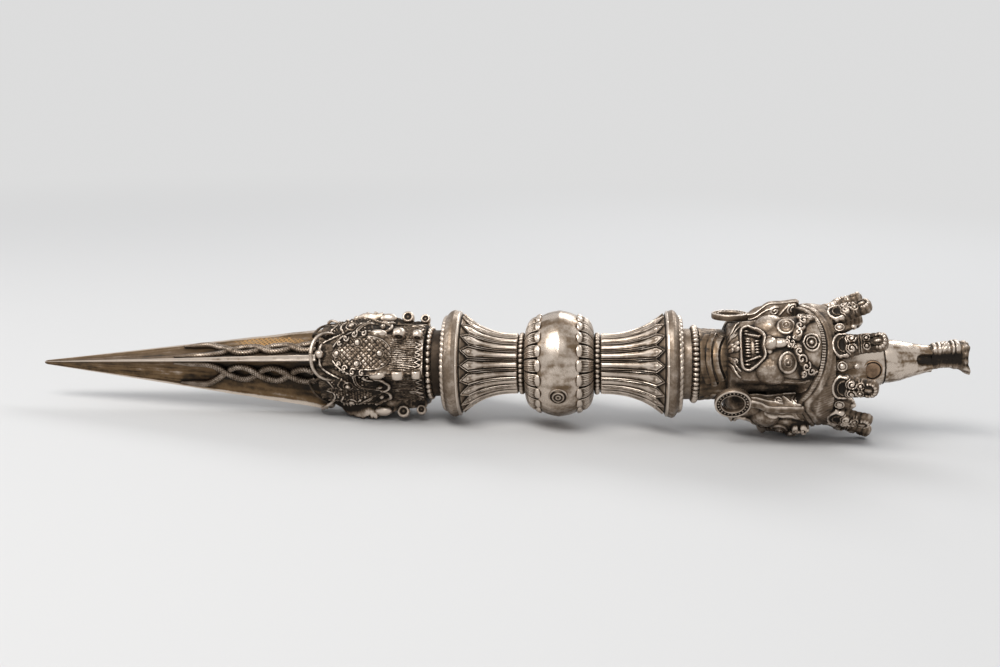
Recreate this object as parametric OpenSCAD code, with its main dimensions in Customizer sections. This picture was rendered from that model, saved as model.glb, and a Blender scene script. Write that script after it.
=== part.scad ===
// A phurba: a ritual dagger with a three winged blade, a sea monster guard, a double flared
// grip and a three faced head under a crown of skulls.
// Every section is a separate casting. They are threaded on one core rod, and a cross pin
// through the knot of the grip locks them. The dagger lies on its side, as it rests.

/* [Lying pose] */
// Turn about the dagger's own axis that brings the second sea monster underneath
lie_roll = 60; // [58:0.5:62]
// Small extra turn of the whole head over the guard
head_turn = 3; // [0:0.5:4]
// Lean of the topknot and all above it, away from the axis
knot_lean = 3.4; // [0:0.2:4]

/* [Fits] */
// Gap round a part that is seated in or on another one
seat_gap = 0.05; // [0.03:0.01:0.1]
// Gap round the core rod and the cross pin in their bores
rod_gap = 0.06; // [0.04:0.01:0.1]

/* [Core rod and pins] */
// Radius of the core rod
rod_r = 2.5; // [2:0.1:2.8]
// Depth of the rod's blind bore in the blade
rod_in_blade = 12; // [8:0.5:16]
// Depth of the rod's blind bore in the topknot's neck
rod_in_neck = 7.5; // [5:0.5:8]
// Angle of the cross pin's boss, from the middle of the front sea monster
pin_angle = 53; // [45:1:60]
// Radius of the cross pin
pin_r = 1.2; // [0.8:0.1:1.4]
// Radius of the ringed boss on the cross pin
boss_r = 3; // [2.4:0.1:3.4]
// Height of the ringed boss
boss_h = 1.6; // [1.2:0.1:2]
// Radius of the peened end of the cross pin
peen_r = 2.1; // [1.8:0.1:2.4]
// Height of the peened end
peen_h = 1.2; // [0.8:0.1:1.4]
// Radius of the pegs that hold the crown's pieces
peg_r = 0.9; // [0.7:0.05:1]
// Length of the pegs below the crown's seat
peg_len = 2.6; // [2:0.1:3]

/* [Blade] */
// Length of the blade from its tip to its shoulder
blade_len = 95.5; // [85:0.5:110]
// Radius over the three wing edges at the shoulder
blade_root_r = 15.5; // [15:0.1:16]
// Radius of the blunt tip
blade_tip_r = 0.7; // [0.5:0.05:1]
// Radius of the valley between two wings at the shoulder
valley_root_r = 4.7; // [4.4:0.1:5.2]
// Thickness of a wing's edge at the shoulder
wing_edge = 2; // [1.4:0.1:2.6]
// Turn of the front wing towards the lower one
front_turn = 9.5; // [0:0.5:10]
// Radius of the tenon behind the shoulder
tenon_r = 4.3; // [3.8:0.1:4.4]
// Length of the tenon
tenon_len = 11; // [8:0.5:14]

/* [Serpents on the blade] */
// Radius of a serpent's body
serpent_r = 0.6; // [0.45:0.05:0.75]
// Distance from the blade's shoulder forward to the first crossing of a pair
crossing_back = 31; // [28:0.5:34]
// Length of one loop of the braid
braid_loop = 11.8; // [10:0.1:12.4]
// Half width of a loop
braid_half = 2.9; // [2:0.1:3.4]
// Length of the tails before the first crossing
tail_len = 14; // [10:0.5:18]
// How far the tails spread to each side
tail_spread = 3.6; // [2.5:0.1:4]

/* [Sea monster guard] */
// Length of the guard's core behind the blade's shoulder
guard_len = 33.9; // [33:0.1:36]
// Radius of the guard's core
guard_r = 10.6; // [9:0.1:11]
// Radius at which the ball curls stand
curl_at_r = 17.4; // [16.8:0.1:18]
// Angle of a row of curls to each side of a monster's middle
curl_angle = 26; // [23:0.5:28]
// Radius of a ball curl
curl_r = 2; // [1.6:0.1:2.2]
// Distance from the large ball curls to the bead ring behind the guard
curl_back = 7.4; // [6.9:0.1:8.9]
// Distance from the small ball curls to that bead ring
small_curl_back = 2.2; // [2:0.1:2.9]
// Radius of the arched lip in front of a monster's snout
lip_r = 9.4; // [8.8:0.1:9.8]
// Thickness radius of the lip
lip_tube_r = 0.6; // [0.5:0.05:0.7]

/* [Rings and domes] */
// Width of the bead ring behind the guard
guard_bead_w = 2.2; // [1.8:0.1:2.6]
// Outer radius of the bead ring behind the guard
guard_bead_r = 11.7; // [11.2:0.1:12.2]
// Number of beads in that ring
guard_beads = 32; // [24:1:32]
// Length of the plain neck behind that ring
guard_neck_len = 3; // [2:0.1:4]
// Radius of that neck
guard_neck_r = 10.7; // [10:0.1:11.2]
// Thickness of the dome before the grip
low_dome_len = 5.2; // [4.8:0.1:5.6]
// Thickness of the dome behind the grip
top_dome_len = 4; // [3.6:0.1:4.4]
// Radius over the rims of the grip
rim_r = 17.3; // [16.8:0.1:18]
// Middle radius of the rope rings that lie on the domes
rope_at_r = 14.4; // [13.9:0.1:14.9]
// Thickness radius of the rope rings
rope_r = 1.05; // [0.8:0.05:1.15]

/* [Grip] */
// Length of the lower flare
low_flare_len = 19.2; // [17:0.1:22]
// Length of the upper flare
top_flare_len = 21.3; // [19:0.1:24]
// Radius of the grip's waists
waist_r = 9.05; // [8.6:0.05:9.4]
// Number of petals round a flare
petals = 20; // [16:1:24]
// Height of the petals over a flare
petal_high = 0.45; // [0.3:0.05:0.6]
// Gap between two petals
petal_gap = 0.5; // [0.4:0.1:0.8]
// Length of a petal's point
petal_point = 2.7; // [2:0.1:3.4]
// Distance from a flare's rim to the points of its petals
petal_inset = 1.2; // [0.8:0.1:1.6]
// Width of the bead rings beside the knot
grip_bead_w = 2; // [1.6:0.1:2.4]
// Outer radius of the bead rings beside the knot
grip_bead_r = 9.9; // [9.7:0.1:10.3]
// Number of beads in a ring beside the knot
grip_beads = 36; // [24:1:36]
// Length of the petal cups to each side of the knot
cup_len = 4.5; // [4:0.1:5]
// Radius of a petal cup at the knot
cup_r = 14.7; // [14.2:0.1:15.2]
// Length of the knot's bulb
bulb_len = 13; // [12:0.1:14]
// Radius over the bulb's keel
bulb_r = 17.1; // [16.8:0.1:17.6]

/* [Throat] */
// Length of the collar behind the upper dome
collar_len = 3.1; // [2.6:0.1:3.6]
// Radius of the collar
collar_r = 11.3; // [11:0.1:11.8]
// Width of the bead ring below the throat
throat_bead_w = 2.6; // [2.2:0.1:3]
// Outer radius of that bead ring
throat_bead_r = 12.5; // [12:0.1:13]
// Number of beads in that ring
throat_beads = 44; // [30:1:44]
// Length of the throat
throat_len = 8.3; // [7.5:0.1:9]
// Radius of the throat under the head
throat_r = 10.9; // [10.6:0.1:11.2]

/* [Head] */
// Radius of the head's core
head_r = 10.6; // [10:0.1:10.8]
// Length of a face, from the beard to the hair band
face_len = 27; // [26:0.1:28]
// Length of the hair band between the faces and the crown
band_len = 4.5; // [4:0.1:5.2]
// Radius over a face's cheeks
face_r = 18.6; // [18:0.1:19.2]
// Angle of an eye to each side of the nose
eye_angle = 17; // [15:0.5:19]
// Radius of an eyeball
eye_r = 2.1; // [1.7:0.1:2.3]
// Radius over the hair band
band_r = 19.2; // [19:0.1:19.8]
// Thickness of an ear
ear_thick = 2.2; // [1.8:0.1:2.8]
// Radial height of an ear's bar
ear_high = 4.6; // [4:0.1:5.4]
// Radius over an ear's bar at its root
ear_root_r = 19.9; // [19.3:0.1:20.6]
// Radius over the lobes of the ears: top, front and rear
lobe_top_r = 16.8; // [16.4:0.1:17.4]
lobe_front_r = 18.9; // [17.6:0.1:19.2]
lobe_rear_r = 17.8; // [16.8:0.1:18.6]
// Outer radius of an earring
ring_r = 5.6; // [5:0.1:6]
// Inner radius of an earring
ring_hole_r = 2.8; // [2.4:0.1:3.2]
// Thickness of an earring
ring_thick = 1.9; // [1.5:0.1:2.2]

/* [Crown] */
// Number of skulls in the crown: one over each face and the rest between them
skulls = 9; // [6:3:9]
// Radius of the circle on which the skulls stand
skull_at_r = 16.8; // [16.4:0.1:17.2]
// Length of the three skulls over the faces
tall_skull = 16.4; // [15.5:0.1:17.5]
// Length of the other skulls
short_skull = 13.6; // [12.5:0.1:14.5]
// Width of a skull
skull_w = 6.6; // [6:0.1:7.2]
// Thickness of a skull
skull_thick = 3.4; // [3:0.1:3.8]
// Outward lean of the skulls
skull_lean = 20; // [16:0.5:22]
// Width of a jewel between two skulls
jewel_w = 3.2; // [2.6:0.1:3.6]
// Length of a jewel
jewel_len = 6.5; // [5:0.1:7.5]

/* [Topknot and finial] */
// Length of the topknot
knot_len = 17.5; // [16:0.1:19]
// Radius of the topknot inside the crown
knot_r = 9.6; // [9:0.1:10]
// Radius of the medallions on the topknot
medal_r = 3.1; // [2.6:0.1:3.4]
// Thickness of a medallion
medal_thick = 1.2; // [1:0.1:1.4]
// Length of the topknot's neck
neck_len = 15; // [14:0.1:17]
// Radius of the neck where it leaves the topknot
neck_r = 6.9; // [6.5:0.1:7.2]
// Radius of the neck under the finial
neck_end_r = 4.1; // [3.8:0.05:4.4]
// Length of the finial
finial_len = 11.7; // [10:0.1:13]
// Radius of the finial's blunt end
finial_r = 5.3; // [5:0.1:5.6]
// Radius of the finial's spigot in the neck
spigot_r = 1.9; // [1.6:0.1:2.1]
// Length of that spigot
spigot_len = 5; // [4:0.1:5.5]

/* [Hidden] */
$fn = 72;
// Smoothness of the small balls and of the shapes that are hulls
small_fn = 32;
hull_fn = 24;
flute_fn = 96;

// Three of everything round the axis: wings, monsters and faces stand at the first set of
// angles, valleys and ears between them
third = 120;
between = 60;
head_len = face_len + band_len;

// Places of the sections, measured from the tip along the axis
at_guard = blade_len;
at_guard_beads = at_guard + guard_len;
at_guard_neck = at_guard_beads + guard_bead_w;
at_low_dome = at_guard_neck + guard_neck_len;
at_low_flare = at_low_dome + low_dome_len;
at_low_beads = at_low_flare + low_flare_len;
at_low_cup = at_low_beads + grip_bead_w;
at_bulb = at_low_cup + cup_len;
at_top_cup = at_bulb + bulb_len;
at_top_beads = at_top_cup + cup_len;
at_top_flare = at_top_beads + grip_bead_w;
at_top_dome = at_top_flare + top_flare_len;
at_collar = at_top_dome + top_dome_len;
at_throat_beads = at_collar + collar_len;
at_throat = at_throat_beads + throat_bead_w;
at_head = at_throat + throat_len;
at_crown = at_head + head_len;
at_neck = at_crown + knot_len;
at_finial = at_neck + neck_len;
total_len = at_finial + finial_len;
pin_at = at_bulb + bulb_len / 2;

// Angles of the three wings, with the first one again at the end. Valley i lies between the
// wings i and i + 1: the angle of its middle, and half the angle between its wings
wings = [front_turn, third, 2 * third, 360 + front_turn];
function valley_turn(i) = (wings[i] + wings[i + 1]) / 2;
function valley_half(i) = (wings[i + 1] - wings[i]) / 2;

// The valleys are cut by round flutes. At the shoulder a flute passes through the bottom of
// the valley and through the edges of the two wings beside it
edge_half = asin(wing_edge / 2 / blade_root_r);
function flute_at(i) = (pow(blade_root_r, 2) - pow(valley_root_r, 2))
    / (2 * (blade_root_r * cos(valley_half(i) - edge_half) - valley_root_r));
function flute_r(i) = flute_at(i) - valley_root_r;

bore_r = rod_r + rod_gap;
monster_seat_r = guard_r + seat_gap;
face_seat_r = head_r + seat_gap;
rope_seat_r = rope_r + seat_gap;
at_band = at_head + face_len;

// The dagger rests on the ball curls of the monster below and on the tall skull below
curl_at = guard_len - curl_back;
small_curl_at = guard_len - small_curl_back;
roll_off = lie_roll - between;
curl_drop = curl_at_r * cos(curl_angle - abs(roll_off)) + curl_r;
curl_place = at_guard + curl_at;
skull_tip_r = skull_w / 2;
skull_reach = tall_skull * sin(skull_lean) + skull_thick / 2 * cos(skull_lean);
skull_drop = (skull_at_r + skull_reach) * cos(roll_off - head_turn);
skull_place = at_crown + tall_skull * cos(skull_lean) - skull_thick / 2 * sin(skull_lean);
lie_tilt = atan((skull_drop - curl_drop) / (skull_place - curl_place));
lie_lift = curl_drop * cos(lie_tilt) - curl_place * sin(lie_tilt);

// Radius of a flare at the share s of its length, from the rim (0) to the waist (1)
function flare(s) = waist_r + (rim_r - edge_in - waist_r) * pow(max(0, 1 - s), flare_curve);
flare_curve = 2.5;
flare_steps = 10;
// How far a cutting body reaches past what it cuts, and a joined one into its neighbour
over = 1;
root = 0.5;

// Lays a part that stands on the tip along X, on its side, with the tip towards -X
module lay_down() {
    translate([-total_len * cos(lie_tilt) / 2, 0, lie_lift])
        rotate([0, -lie_tilt, 0])
            rotate([0, 90, 0])
                rotate([0, 0, 180 + lie_roll])
                    children();
}

// The head with all that it carries is turned a little against the guard
module turned() {
    lay_down()
        rotate([0, 0, -head_turn])
            children();
}

// The topknot, its neck and the finial lean to one side over the crown's seat
lean_toward = -75;

module leaned() {
    translate([0, 0, at_crown])
        rotate([0, 0, lean_toward])
            rotate([0, knot_lean, 0])
                rotate([0, 0, -lean_toward])
                    translate([0, 0, -at_crown])
                        children();
}

// A point at radius r, turned by angle a and at height z
module put(r, a, z) {
    rotate([0, 0, a])
        translate([r, 0, z])
            children();
}

module rod_bore() {
    translate([0, 0, -over])
        cylinder(h = total_len + 2 * over, r = bore_r);
}

// A plain turned body, and a section that has the rod's bore too
module turned_body(at, len, points) {
    translate([0, 0, at])
        rotate_extrude()
            polygon(concat([[0, points[0][1]]], points, [[0, len]]));
}

module section(at, len, points) {
    difference() {
        turned_body(at, len, points);
        rod_bore();
    }
}

// A washer with a row of balls round it. The balls are a little narrower than the washer, and
// never so large that neighbours meet
bead_share = 0.46;
bead_room = 0.92;

module bead_ring(at, w, r, count) {
    ball_r = w * bead_share;
    washer_r = r - ball_r * 0.9;
    translate([0, 0, at])
        difference() {
            union() {
                cylinder(h = w, r = washer_r);
                for (i = [0:count - 1])
                    put(r - ball_r, 360 * i / count, w / 2)
                        sphere(r = min(ball_r, bead_room * PI * (r - ball_r) / count), $fn = small_fn);
            }
            translate([0, 0, -over])
                cylinder(h = w + 2 * over, r = bore_r);
        }
}

module rope_torus(at, r) {
    translate([0, 0, at])
        rotate_extrude()
            translate([rope_at_r, 0])
                circle(r = r);
}

// Blade: the section at its shoulder shrinks evenly to the blunt tip
module wing_section() {
    difference() {
        circle(r = blade_root_r);
        for (i = [0:2])
            rotate(valley_turn(i))
                translate([flute_at(i), 0])
                    circle(r = flute_r(i), $fn = flute_fn);
    }
}

module blade() {
    color("darkkhaki")
        lay_down()
            difference() {
                union() {
                    translate([0, 0, blade_len])
                        mirror([0, 0, 1])
                            linear_extrude(height = blade_len, scale = blade_tip_r / blade_root_r)
                                wing_section();
                    translate([0, 0, blade_len - over])
                        cylinder(h = tenon_len + over, r = tenon_r);
                }
                translate([0, 0, blade_len + tenon_len - rod_in_blade])
                    cylinder(h = rod_in_blade + over, r = bore_r);
            }
}

// Serpents: two strands in each valley, braided so that each passes over the other in turn.
// They stop just before the guard
strand_steps = 33;
strand_sides = 6;
first_crossing = blade_len - crossing_back;
braid_start = first_crossing - tail_len;
braid_end = blade_len - 3.8;
braid_lift = 2 * serpent_r + 0.12;
braid_places = [for (i = [0:strand_steps]) braid_start + (braid_end - braid_start) * i / strand_steps];

// Turn of the braid in degrees at the place t, 0 at the first crossing
function braid_turn(t) = (t - first_crossing) / braid_loop * 180;
function braid_side(t) = t < first_crossing
    ? -tail_spread * sin(90 * (first_crossing - t) / tail_len)
    : braid_half * sin(braid_turn(t));
function braid_over(t, strand) = t < first_crossing - braid_loop / 2
    ? 0
    : pow(max(0, strand * cos(braid_turn(t))), 2);

// The blade's size at the place t, as a share of its size at the shoulder
function share(t) = (blade_tip_r + (blade_root_r - blade_tip_r) * t / blade_len) / blade_root_r;

// A point over the surface of valley i: the place t, the sideways distance u, the height h
function over_valley(i, t, u, h) =
    let (r = flute_r(i) * share(t) - h)
    let (a = u / r * 180 / PI)
    [flute_at(i) * share(t) - r * cos(a), r * sin(a), t];

function strand_point(i, t, strand) = over_valley(i, t, strand * braid_side(t),
    serpent_r + seat_gap + braid_lift * braid_over(t, strand));

function unit(v) = v / norm(v);

// A tube along a path: rings of points square to the path, closed by flat ends
module tube(path, r, sides) {
    last = len(path) - 1;
    rings = [for (i = [0:last])
        let (ahead = path[min(i + 1, last)] - path[max(i - 1, 0)])
        let (along = unit(ahead))
        let (side = unit(cross(along, [1, 0, 0])))
        let (up = cross(side, along))
        for (k = [0:sides - 1])
            path[i] + r * cos(360 * k / sides) * side + r * sin(360 * k / sides) * up];
    walls = [for (i = [0:last - 1], k = [0:sides - 1])
        let (a = i * sides + k, b = i * sides + (k + 1) % sides)
        each [[a, a + sides, b + sides], [a, b + sides, b]]];
    ends = [[for (k = [0:sides - 1]) k],
        [for (k = [sides - 1:-1:0]) last * sides + k]];
    polyhedron(points = rings, faces = concat(walls, ends));
}

module serpent_pair(i) {
    color("silver")
        lay_down()
            rotate([0, 0, valley_turn(i)])
                for (strand = [-1, 1])
                    tube([for (t = braid_places) strand_point(i, t, strand)], serpent_r, strand_sides);
}

// Core rod, drilled for the cross pin
module core_rod() {
    rod_start = blade_len + tenon_len - rod_in_blade + seat_gap;
    rod_end = at_neck + rod_in_neck - seat_gap;
    color("dimgray")
        lay_down()
            difference() {
                translate([0, 0, rod_start])
                    cylinder(h = rod_end - rod_start, r = rod_r);
                translate([0, 0, pin_at])
                    rotate([0, 90, pin_angle])
                        cylinder(h = 4 * rod_r, r = pin_r + rod_gap, center = true);
            }
}

// Guard
module guard_core() {
    color("dimgray")
        lay_down()
            difference() {
                translate([0, 0, at_guard])
                    cylinder(h = guard_len, r = guard_r);
                translate([0, 0, at_guard - over])
                    cylinder(h = tenon_len + seat_gap + over, r = tenon_r + seat_gap);
                rod_bore();
            }
}

// The balls that a monster's skin is stretched over: radius from the axis, distance to each
// side, place as a share of the skin's length, ball. The snout between its two cheeks is flat
// on top and rises to the back, and the hair behind it is lower
snout_balls = [[10.6, 3.6, 0, 3.2], [11.6, 4.3, 0.2, 3.6], [12.8, 4.3, 0.5, 3.6],
    [12.9, 4.3, 0.62, 3.5], [8, 7.4, -0.05, 2.4], [8, 7.4, 0.55, 2.4]];
hair_balls = [[10.7, 4.7, 0.7, 2.3], [10.7, 4.7, 1, 2.3], [7.6, 8, 0.7, 1], [7.6, 8, 1, 1]];
skin_from = 4.8;
skin_to = guard_len - 2.9;
// Lip: an arch that leans forward to the blade's shoulder. The lean of its plane, the angle
// it spans, how far its top stands over the shoulder and behind it, and its middle
lip_lean = 30;
lip_span = 190;
lip_over = 0.25;
lip_room = 0.05;
lip_in = blade_root_r + lip_over - lip_r * cos(lip_lean);
lip_at = lip_room + lip_tube_r + lip_r * sin(lip_lean);
// Knob on the snout
knob_r = 1.6;
knob_in = 13.8;
knob_at = 2.6;
// Studs on the scale plate: radius from the axis, side, and place as a share of the guard's
// length. The first one goes with the nose
nose_stud = [14.9, 0, 0.225];
studs = [[16.2, 3.3, 0.43], [16.2, -3.3, 0.43], [16.7, 0, 0.615]];
stud_r = 0.8;
// The front monster's nose follows the turned wing this far
nose_follow = 0.45;

module skin(balls) {
    hull()
        for (b = balls, side = [-1, 1])
            translate([b[0], side * b[1], skin_from + (skin_to - skin_from) * b[2]])
                sphere(r = b[3], $fn = hull_fn);
}

module stud(s) {
    translate([s[0], s[1], s[2] * guard_len])
        sphere(r = stud_r, $fn = small_fn);
}

// Arched lip over the blade's shoulder, with the knob and the first stud behind it
module nose() {
    translate([lip_in, 0, lip_at])
        rotate([0, lip_lean, 0])
            rotate([0, 0, -lip_span / 2])
                rotate_extrude(angle = lip_span)
                    translate([lip_r, 0])
                        circle(r = lip_tube_r);
    translate([knob_in, 0, knob_at])
        sphere(r = knob_r, $fn = small_fn);
    stud(nose_stud);
}

module sea_monster(a, nose_turn) {
    color("rosybrown")
        lay_down()
            rotate([0, 0, a])
                difference() {
                    translate([0, 0, at_guard])
                        union() {
                            skin(snout_balls);
                            skin(hair_balls);
                            rotate([0, 0, nose_turn])
                                nose();
                            for (s = studs)
                                stud(s);
                            for (side = [-1, 1])
                                rotate([0, 0, side * curl_angle])
                                    curl_row();
                        }
                    translate([0, 0, at_guard - over])
                        cylinder(h = guard_len + 2 * over, r = monster_seat_r);
                }
}

// A row of one long curl and two ball curls on a low wall
module curl_row() {
    wall_from = curl_at_r - 5.5;
    wall_to = curl_at_r - 1.4;
    row_from = curl_at - 8;
    long_r = curl_r * 0.95;
    long_places = [curl_at - 6.1, curl_at - 3.9];
    translate([wall_from, -curl_r / 2, row_from])
        cube([wall_to - wall_from, curl_r, small_curl_at + over - row_from]);
    translate([curl_at_r - curl_r * 0.2, 0, 0]) {
        for (place = long_places)
            translate([0, 0, place])
                sphere(r = long_r, $fn = small_fn);
        translate([0, 0, long_places[0]])
            cylinder(h = long_places[1] - long_places[0], r = long_r);
    }
    translate([curl_at_r, 0, curl_at])
        sphere(r = curl_r, $fn = small_fn);
    translate([curl_at_r - curl_r * 0.3, 0, small_curl_at])
        sphere(r = curl_r * 0.8, $fn = small_fn);
}

module guard_bead_ring() {
    color("silver")
        lay_down()
            bead_ring(at_guard_beads, guard_bead_w, guard_bead_r, guard_beads);
}

module guard_neck() {
    color("dimgray")
        lay_down()
            section(at_guard_neck, guard_neck_len,
                [[guard_neck_r, 0], [guard_neck_r, guard_neck_len]]);
}

// Domes with a groove in which the rope ring lies
dome_rim = 1.3;
dome_steps = 8;
// How much narrower the edge between a dome and its flare is than the rim
edge_in = 0.5;
low_rope_at = at_low_dome + low_dome_len * 0.42;
top_rope_at = at_top_dome + top_dome_len * 0.62;

function dome_points(len, foot_r, mirrored) =
    let (rise = len - dome_rim)
    let (bow = [for (i = [0:dome_steps]) let (a = i * 90 / dome_steps)
        [foot_r + (rim_r - foot_r) * sin(a), rise * (1 - cos(a))]])
    mirrored
        ? concat([[rim_r - edge_in, 0]],
            [for (i = [dome_steps:-1:0]) [bow[i][0], len - bow[i][1]]])
        : concat(bow, [[rim_r - edge_in, len]]);

module lower_dome() {
    color("silver")
        lay_down()
            difference() {
                section(at_low_dome, low_dome_len, dome_points(low_dome_len, guard_neck_r, false));
                rope_torus(low_rope_at - rope_r, rope_seat_r);
            }
}

module lower_rope_ring() {
    color("gainsboro")
        lay_down()
            rope_torus(low_rope_at - rope_r, rope_r);
}

module upper_dome() {
    color("silver")
        lay_down()
            difference() {
                section(at_top_dome, top_dome_len, dome_points(top_dome_len, collar_r, true));
                rope_torus(top_rope_at + rope_r, rope_seat_r);
            }
}

module upper_rope_ring() {
    color("gainsboro")
        lay_down()
            rope_torus(top_rope_at + rope_r, rope_r);
}

// Grip: a flare with its rim at 0 and its waist at len. It has a ring of petals, which run
// from a point near the rim down to the waist and narrow with it
module petal_flare(len) {
    turned_body(0, len, flare_points(len, 0));
    for (i = [0:petals - 1])
        rotate([0, 0, 360 * i / petals])
            intersection() {
                rotate([0, 0, -180 / petals])
                    rotate_extrude(angle = 360 / petals)
                        polygon(concat([[waist_r - root, 0]], flare_points(len, petal_high),
                            [[waist_r - root, len]]));
                rotate([90, 0, 90])
                    linear_extrude(height = rim_r + over)
                        polygon(petal_outline(len));
            }
}

function flare_points(len, high) = [for (i = [0:flare_steps])
    [flare(i / flare_steps) + high, len * i / flare_steps]];

// Half the width of a petal at the distance v from the rim
function petal_half(len, v) = PI * flare(v / len) / petals - petal_gap / 2;

petal_steps = 5;

function petal_outline(len) =
    let (wide_at = petal_inset + petal_point)
    let (side = [for (k = [0:petal_steps])
        let (v = wide_at + (len - wide_at) * k / petal_steps) [petal_half(len, v), v]])
    concat([[0, petal_inset]], side, [for (k = [petal_steps:-1:0]) [-side[k][0], side[k][1]]]);

module lower_grip_flare() {
    color("rosybrown")
        lay_down()
            difference() {
                translate([0, 0, at_low_flare])
                    petal_flare(low_flare_len);
                rod_bore();
            }
}

module upper_grip_flare() {
    color("rosybrown")
        lay_down()
            difference() {
                translate([0, 0, at_top_dome])
                    mirror([0, 0, 1])
                        petal_flare(top_flare_len);
                rod_bore();
            }
}

module lower_bead_ring() {
    color("silver")
        lay_down()
            bead_ring(at_low_beads, grip_bead_w, grip_bead_r, grip_beads);
}

module upper_bead_ring() {
    color("silver")
        lay_down()
            bead_ring(at_top_beads, grip_bead_w, grip_bead_r, grip_beads);
}

cup_foot_r = grip_bead_r - 0.4;
cup_steps = 6;

module lower_petal_cup() {
    color("rosybrown")
        lay_down()
            section(at_low_cup, cup_len,
                [for (i = [0:cup_steps]) let (a = 90 * i / cup_steps)
                    [cup_foot_r + (cup_r - cup_foot_r) * sin(a), cup_len * (1 - cos(a))]]);
}

module upper_petal_cup() {
    color("rosybrown")
        lay_down()
            section(at_top_cup, cup_len,
                [for (i = [cup_steps:-1:0]) let (a = 90 * i / cup_steps)
                    [cup_foot_r + (cup_r - cup_foot_r) * sin(a), cup_len * cos(a)]]);
}

// The bulb is drilled right through for the cross pin and has a flat seat for each pin end
boss_seat = bulb_r - 1.1;
peen_seat = bulb_r - 0.9;
bulb_steps = 12;
bulb_edge_r = cup_r + 0.2;

module knot_bulb() {
    color("tan")
        lay_down()
            difference() {
                section(at_bulb, bulb_len,
                    [for (i = [0:bulb_steps]) let (a = 180 * i / bulb_steps - 90)
                        [bulb_edge_r + (bulb_r - bulb_edge_r) * cos(a), bulb_len * i / bulb_steps]]);
                translate([0, 0, pin_at])
                    rotate([0, 90, pin_angle]) {
                        cylinder(h = 3 * bulb_r, r = pin_r + rod_gap, center = true);
                        translate([0, 0, boss_seat])
                            cylinder(h = 3, r = boss_r + seat_gap);
                        translate([0, 0, -peen_seat - 3])
                            cylinder(h = 3, r = peen_r + seat_gap);
                    }
            }
}

module knot_pin() {
    ring_step = boss_h * 0.3;
    color("gainsboro")
        lay_down()
            translate([0, 0, pin_at])
                rotate([0, 90, pin_angle])
                    union() {
                        translate([0, 0, -peen_seat])
                            cylinder(h = peen_seat + boss_seat, r = pin_r);
                        translate([0, 0, boss_seat])
                            cylinder(h = boss_h - ring_step, r = boss_r);
                        translate([0, 0, boss_seat + boss_h - ring_step])
                            cylinder(h = ring_step, r = boss_r * 0.66);
                        translate([0, 0, -peen_seat - peen_h])
                            cylinder(h = peen_h, r = peen_r);
                    }
}

// Throat
module collar() {
    color("tan")
        lay_down()
            section(at_collar, collar_len, [[collar_r, 0], [collar_r, collar_len]]);
}

module throat_bead_ring() {
    color("silver")
        lay_down()
            bead_ring(at_throat_beads, throat_bead_w, throat_bead_r, throat_beads);
}

module throat() {
    color("tan")
        lay_down()
            section(at_throat, throat_len,
                [[throat_bead_r - 1, 0], [throat_r + 0.2, throat_len * 0.35], [throat_r, throat_len]]);
}

// Head
module head_core() {
    color("dimgray")
        turned()
            section(at_head, head_len, [[head_r, 0], [head_r, head_len]]);
}

// Outline of a face from the chin to the hair band, as shares of its radius and length
face_shape = [[0.72, 0], [0.86, 0.06], [0.94, 0.2], [0.97, 0.42], [1, 0.62], [1, 1]];
face_profile = [for (p = face_shape) [face_r * p[0], face_len * p[1]]];
// The features of a face, measured from the chin
mouth_half = 21;
mouth_from = face_len * 0.1;
mouth_high = face_len * 0.27;
mouth_floor_r = face_r * 0.86;
fang_len = mouth_high * 0.46;
nose_at = face_len * 0.41;
nose_r = 1.9;
bridge_r = 1.2;
eye_at = face_len * 0.61;
third_eye_at = face_len * 0.88;
brow_r = 0.8;
brow_gap = 1.1;

// An eye or a brow stands this much inside the cheeks' radius
eye_sink = 0.9;
brow_sink = 0.7;

module face(a) {
    color("silver")
        turned()
            rotate([0, 0, a])
                translate([0, 0, at_head])
                    difference() {
                        union() {
                            difference() {
                                rotate([0, 0, -between])
                                    rotate_extrude(angle = third)
                                        polygon(concat([[face_seat_r, 0]], face_profile,
                                            [[face_seat_r, face_len]]));
                                // Open mouth
                                rotate([0, 0, -mouth_half])
                                    rotate_extrude(angle = 2 * mouth_half)
                                        translate([mouth_floor_r, mouth_from])
                                            square([face_r, mouth_high]);
                            }
                            // Fangs
                            for (side = [-1, 1])
                                put(mouth_floor_r + 0.4, side * mouth_half * 0.7,
                                    mouth_from + mouth_high - fang_len)
                                    cylinder(h = fang_len, r1 = 0.4, r2 = 1);
                            // Eyes
                            for (side = [-1, 1])
                                put(face_r - eye_sink, side * eye_angle, eye_at)
                                    sphere(r = eye_r, $fn = small_fn);
                            put(face_r - eye_sink, 0, third_eye_at)
                                sphere(r = eye_r, $fn = small_fn);
                            // Nose
                            hull() {
                                put(face_r + 0.5, 0, nose_at)
                                    sphere(r = nose_r, $fn = hull_fn);
                                put(face_r - 0.6, 0, eye_at + 1)
                                    sphere(r = bridge_r, $fn = hull_fn);
                            }
                            // Brows
                            for (side = [-1, 1])
                                put(face_r - brow_sink, side * eye_angle, eye_at)
                                    rotate([0, 90, 0])
                                        rotate([0, 0, 90])
                                            rotate_extrude(angle = 180)
                                                translate([eye_r + brow_gap, 0])
                                                    circle(r = brow_r);
                        }
                        ear_slots();
                    }
}

// The ears stand between the faces: a bar that rises towards the crown, its foot cut to
// the round of the earring
ear_root_at = at_head + face_len * 0.815;
ear_lobe_at = at_head + face_len * 0.26;
lobe_high = 3.1;
lobe_len = 5;
ear_foot_at = ear_lobe_at - 1;
ring_at = ear_lobe_at - ring_r;
// How far the middle of an earring lies inside the lobe's outer face
ring_inset = 1.1;
// Room between an earring and the faces beside it
ring_room = 0.4;

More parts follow.
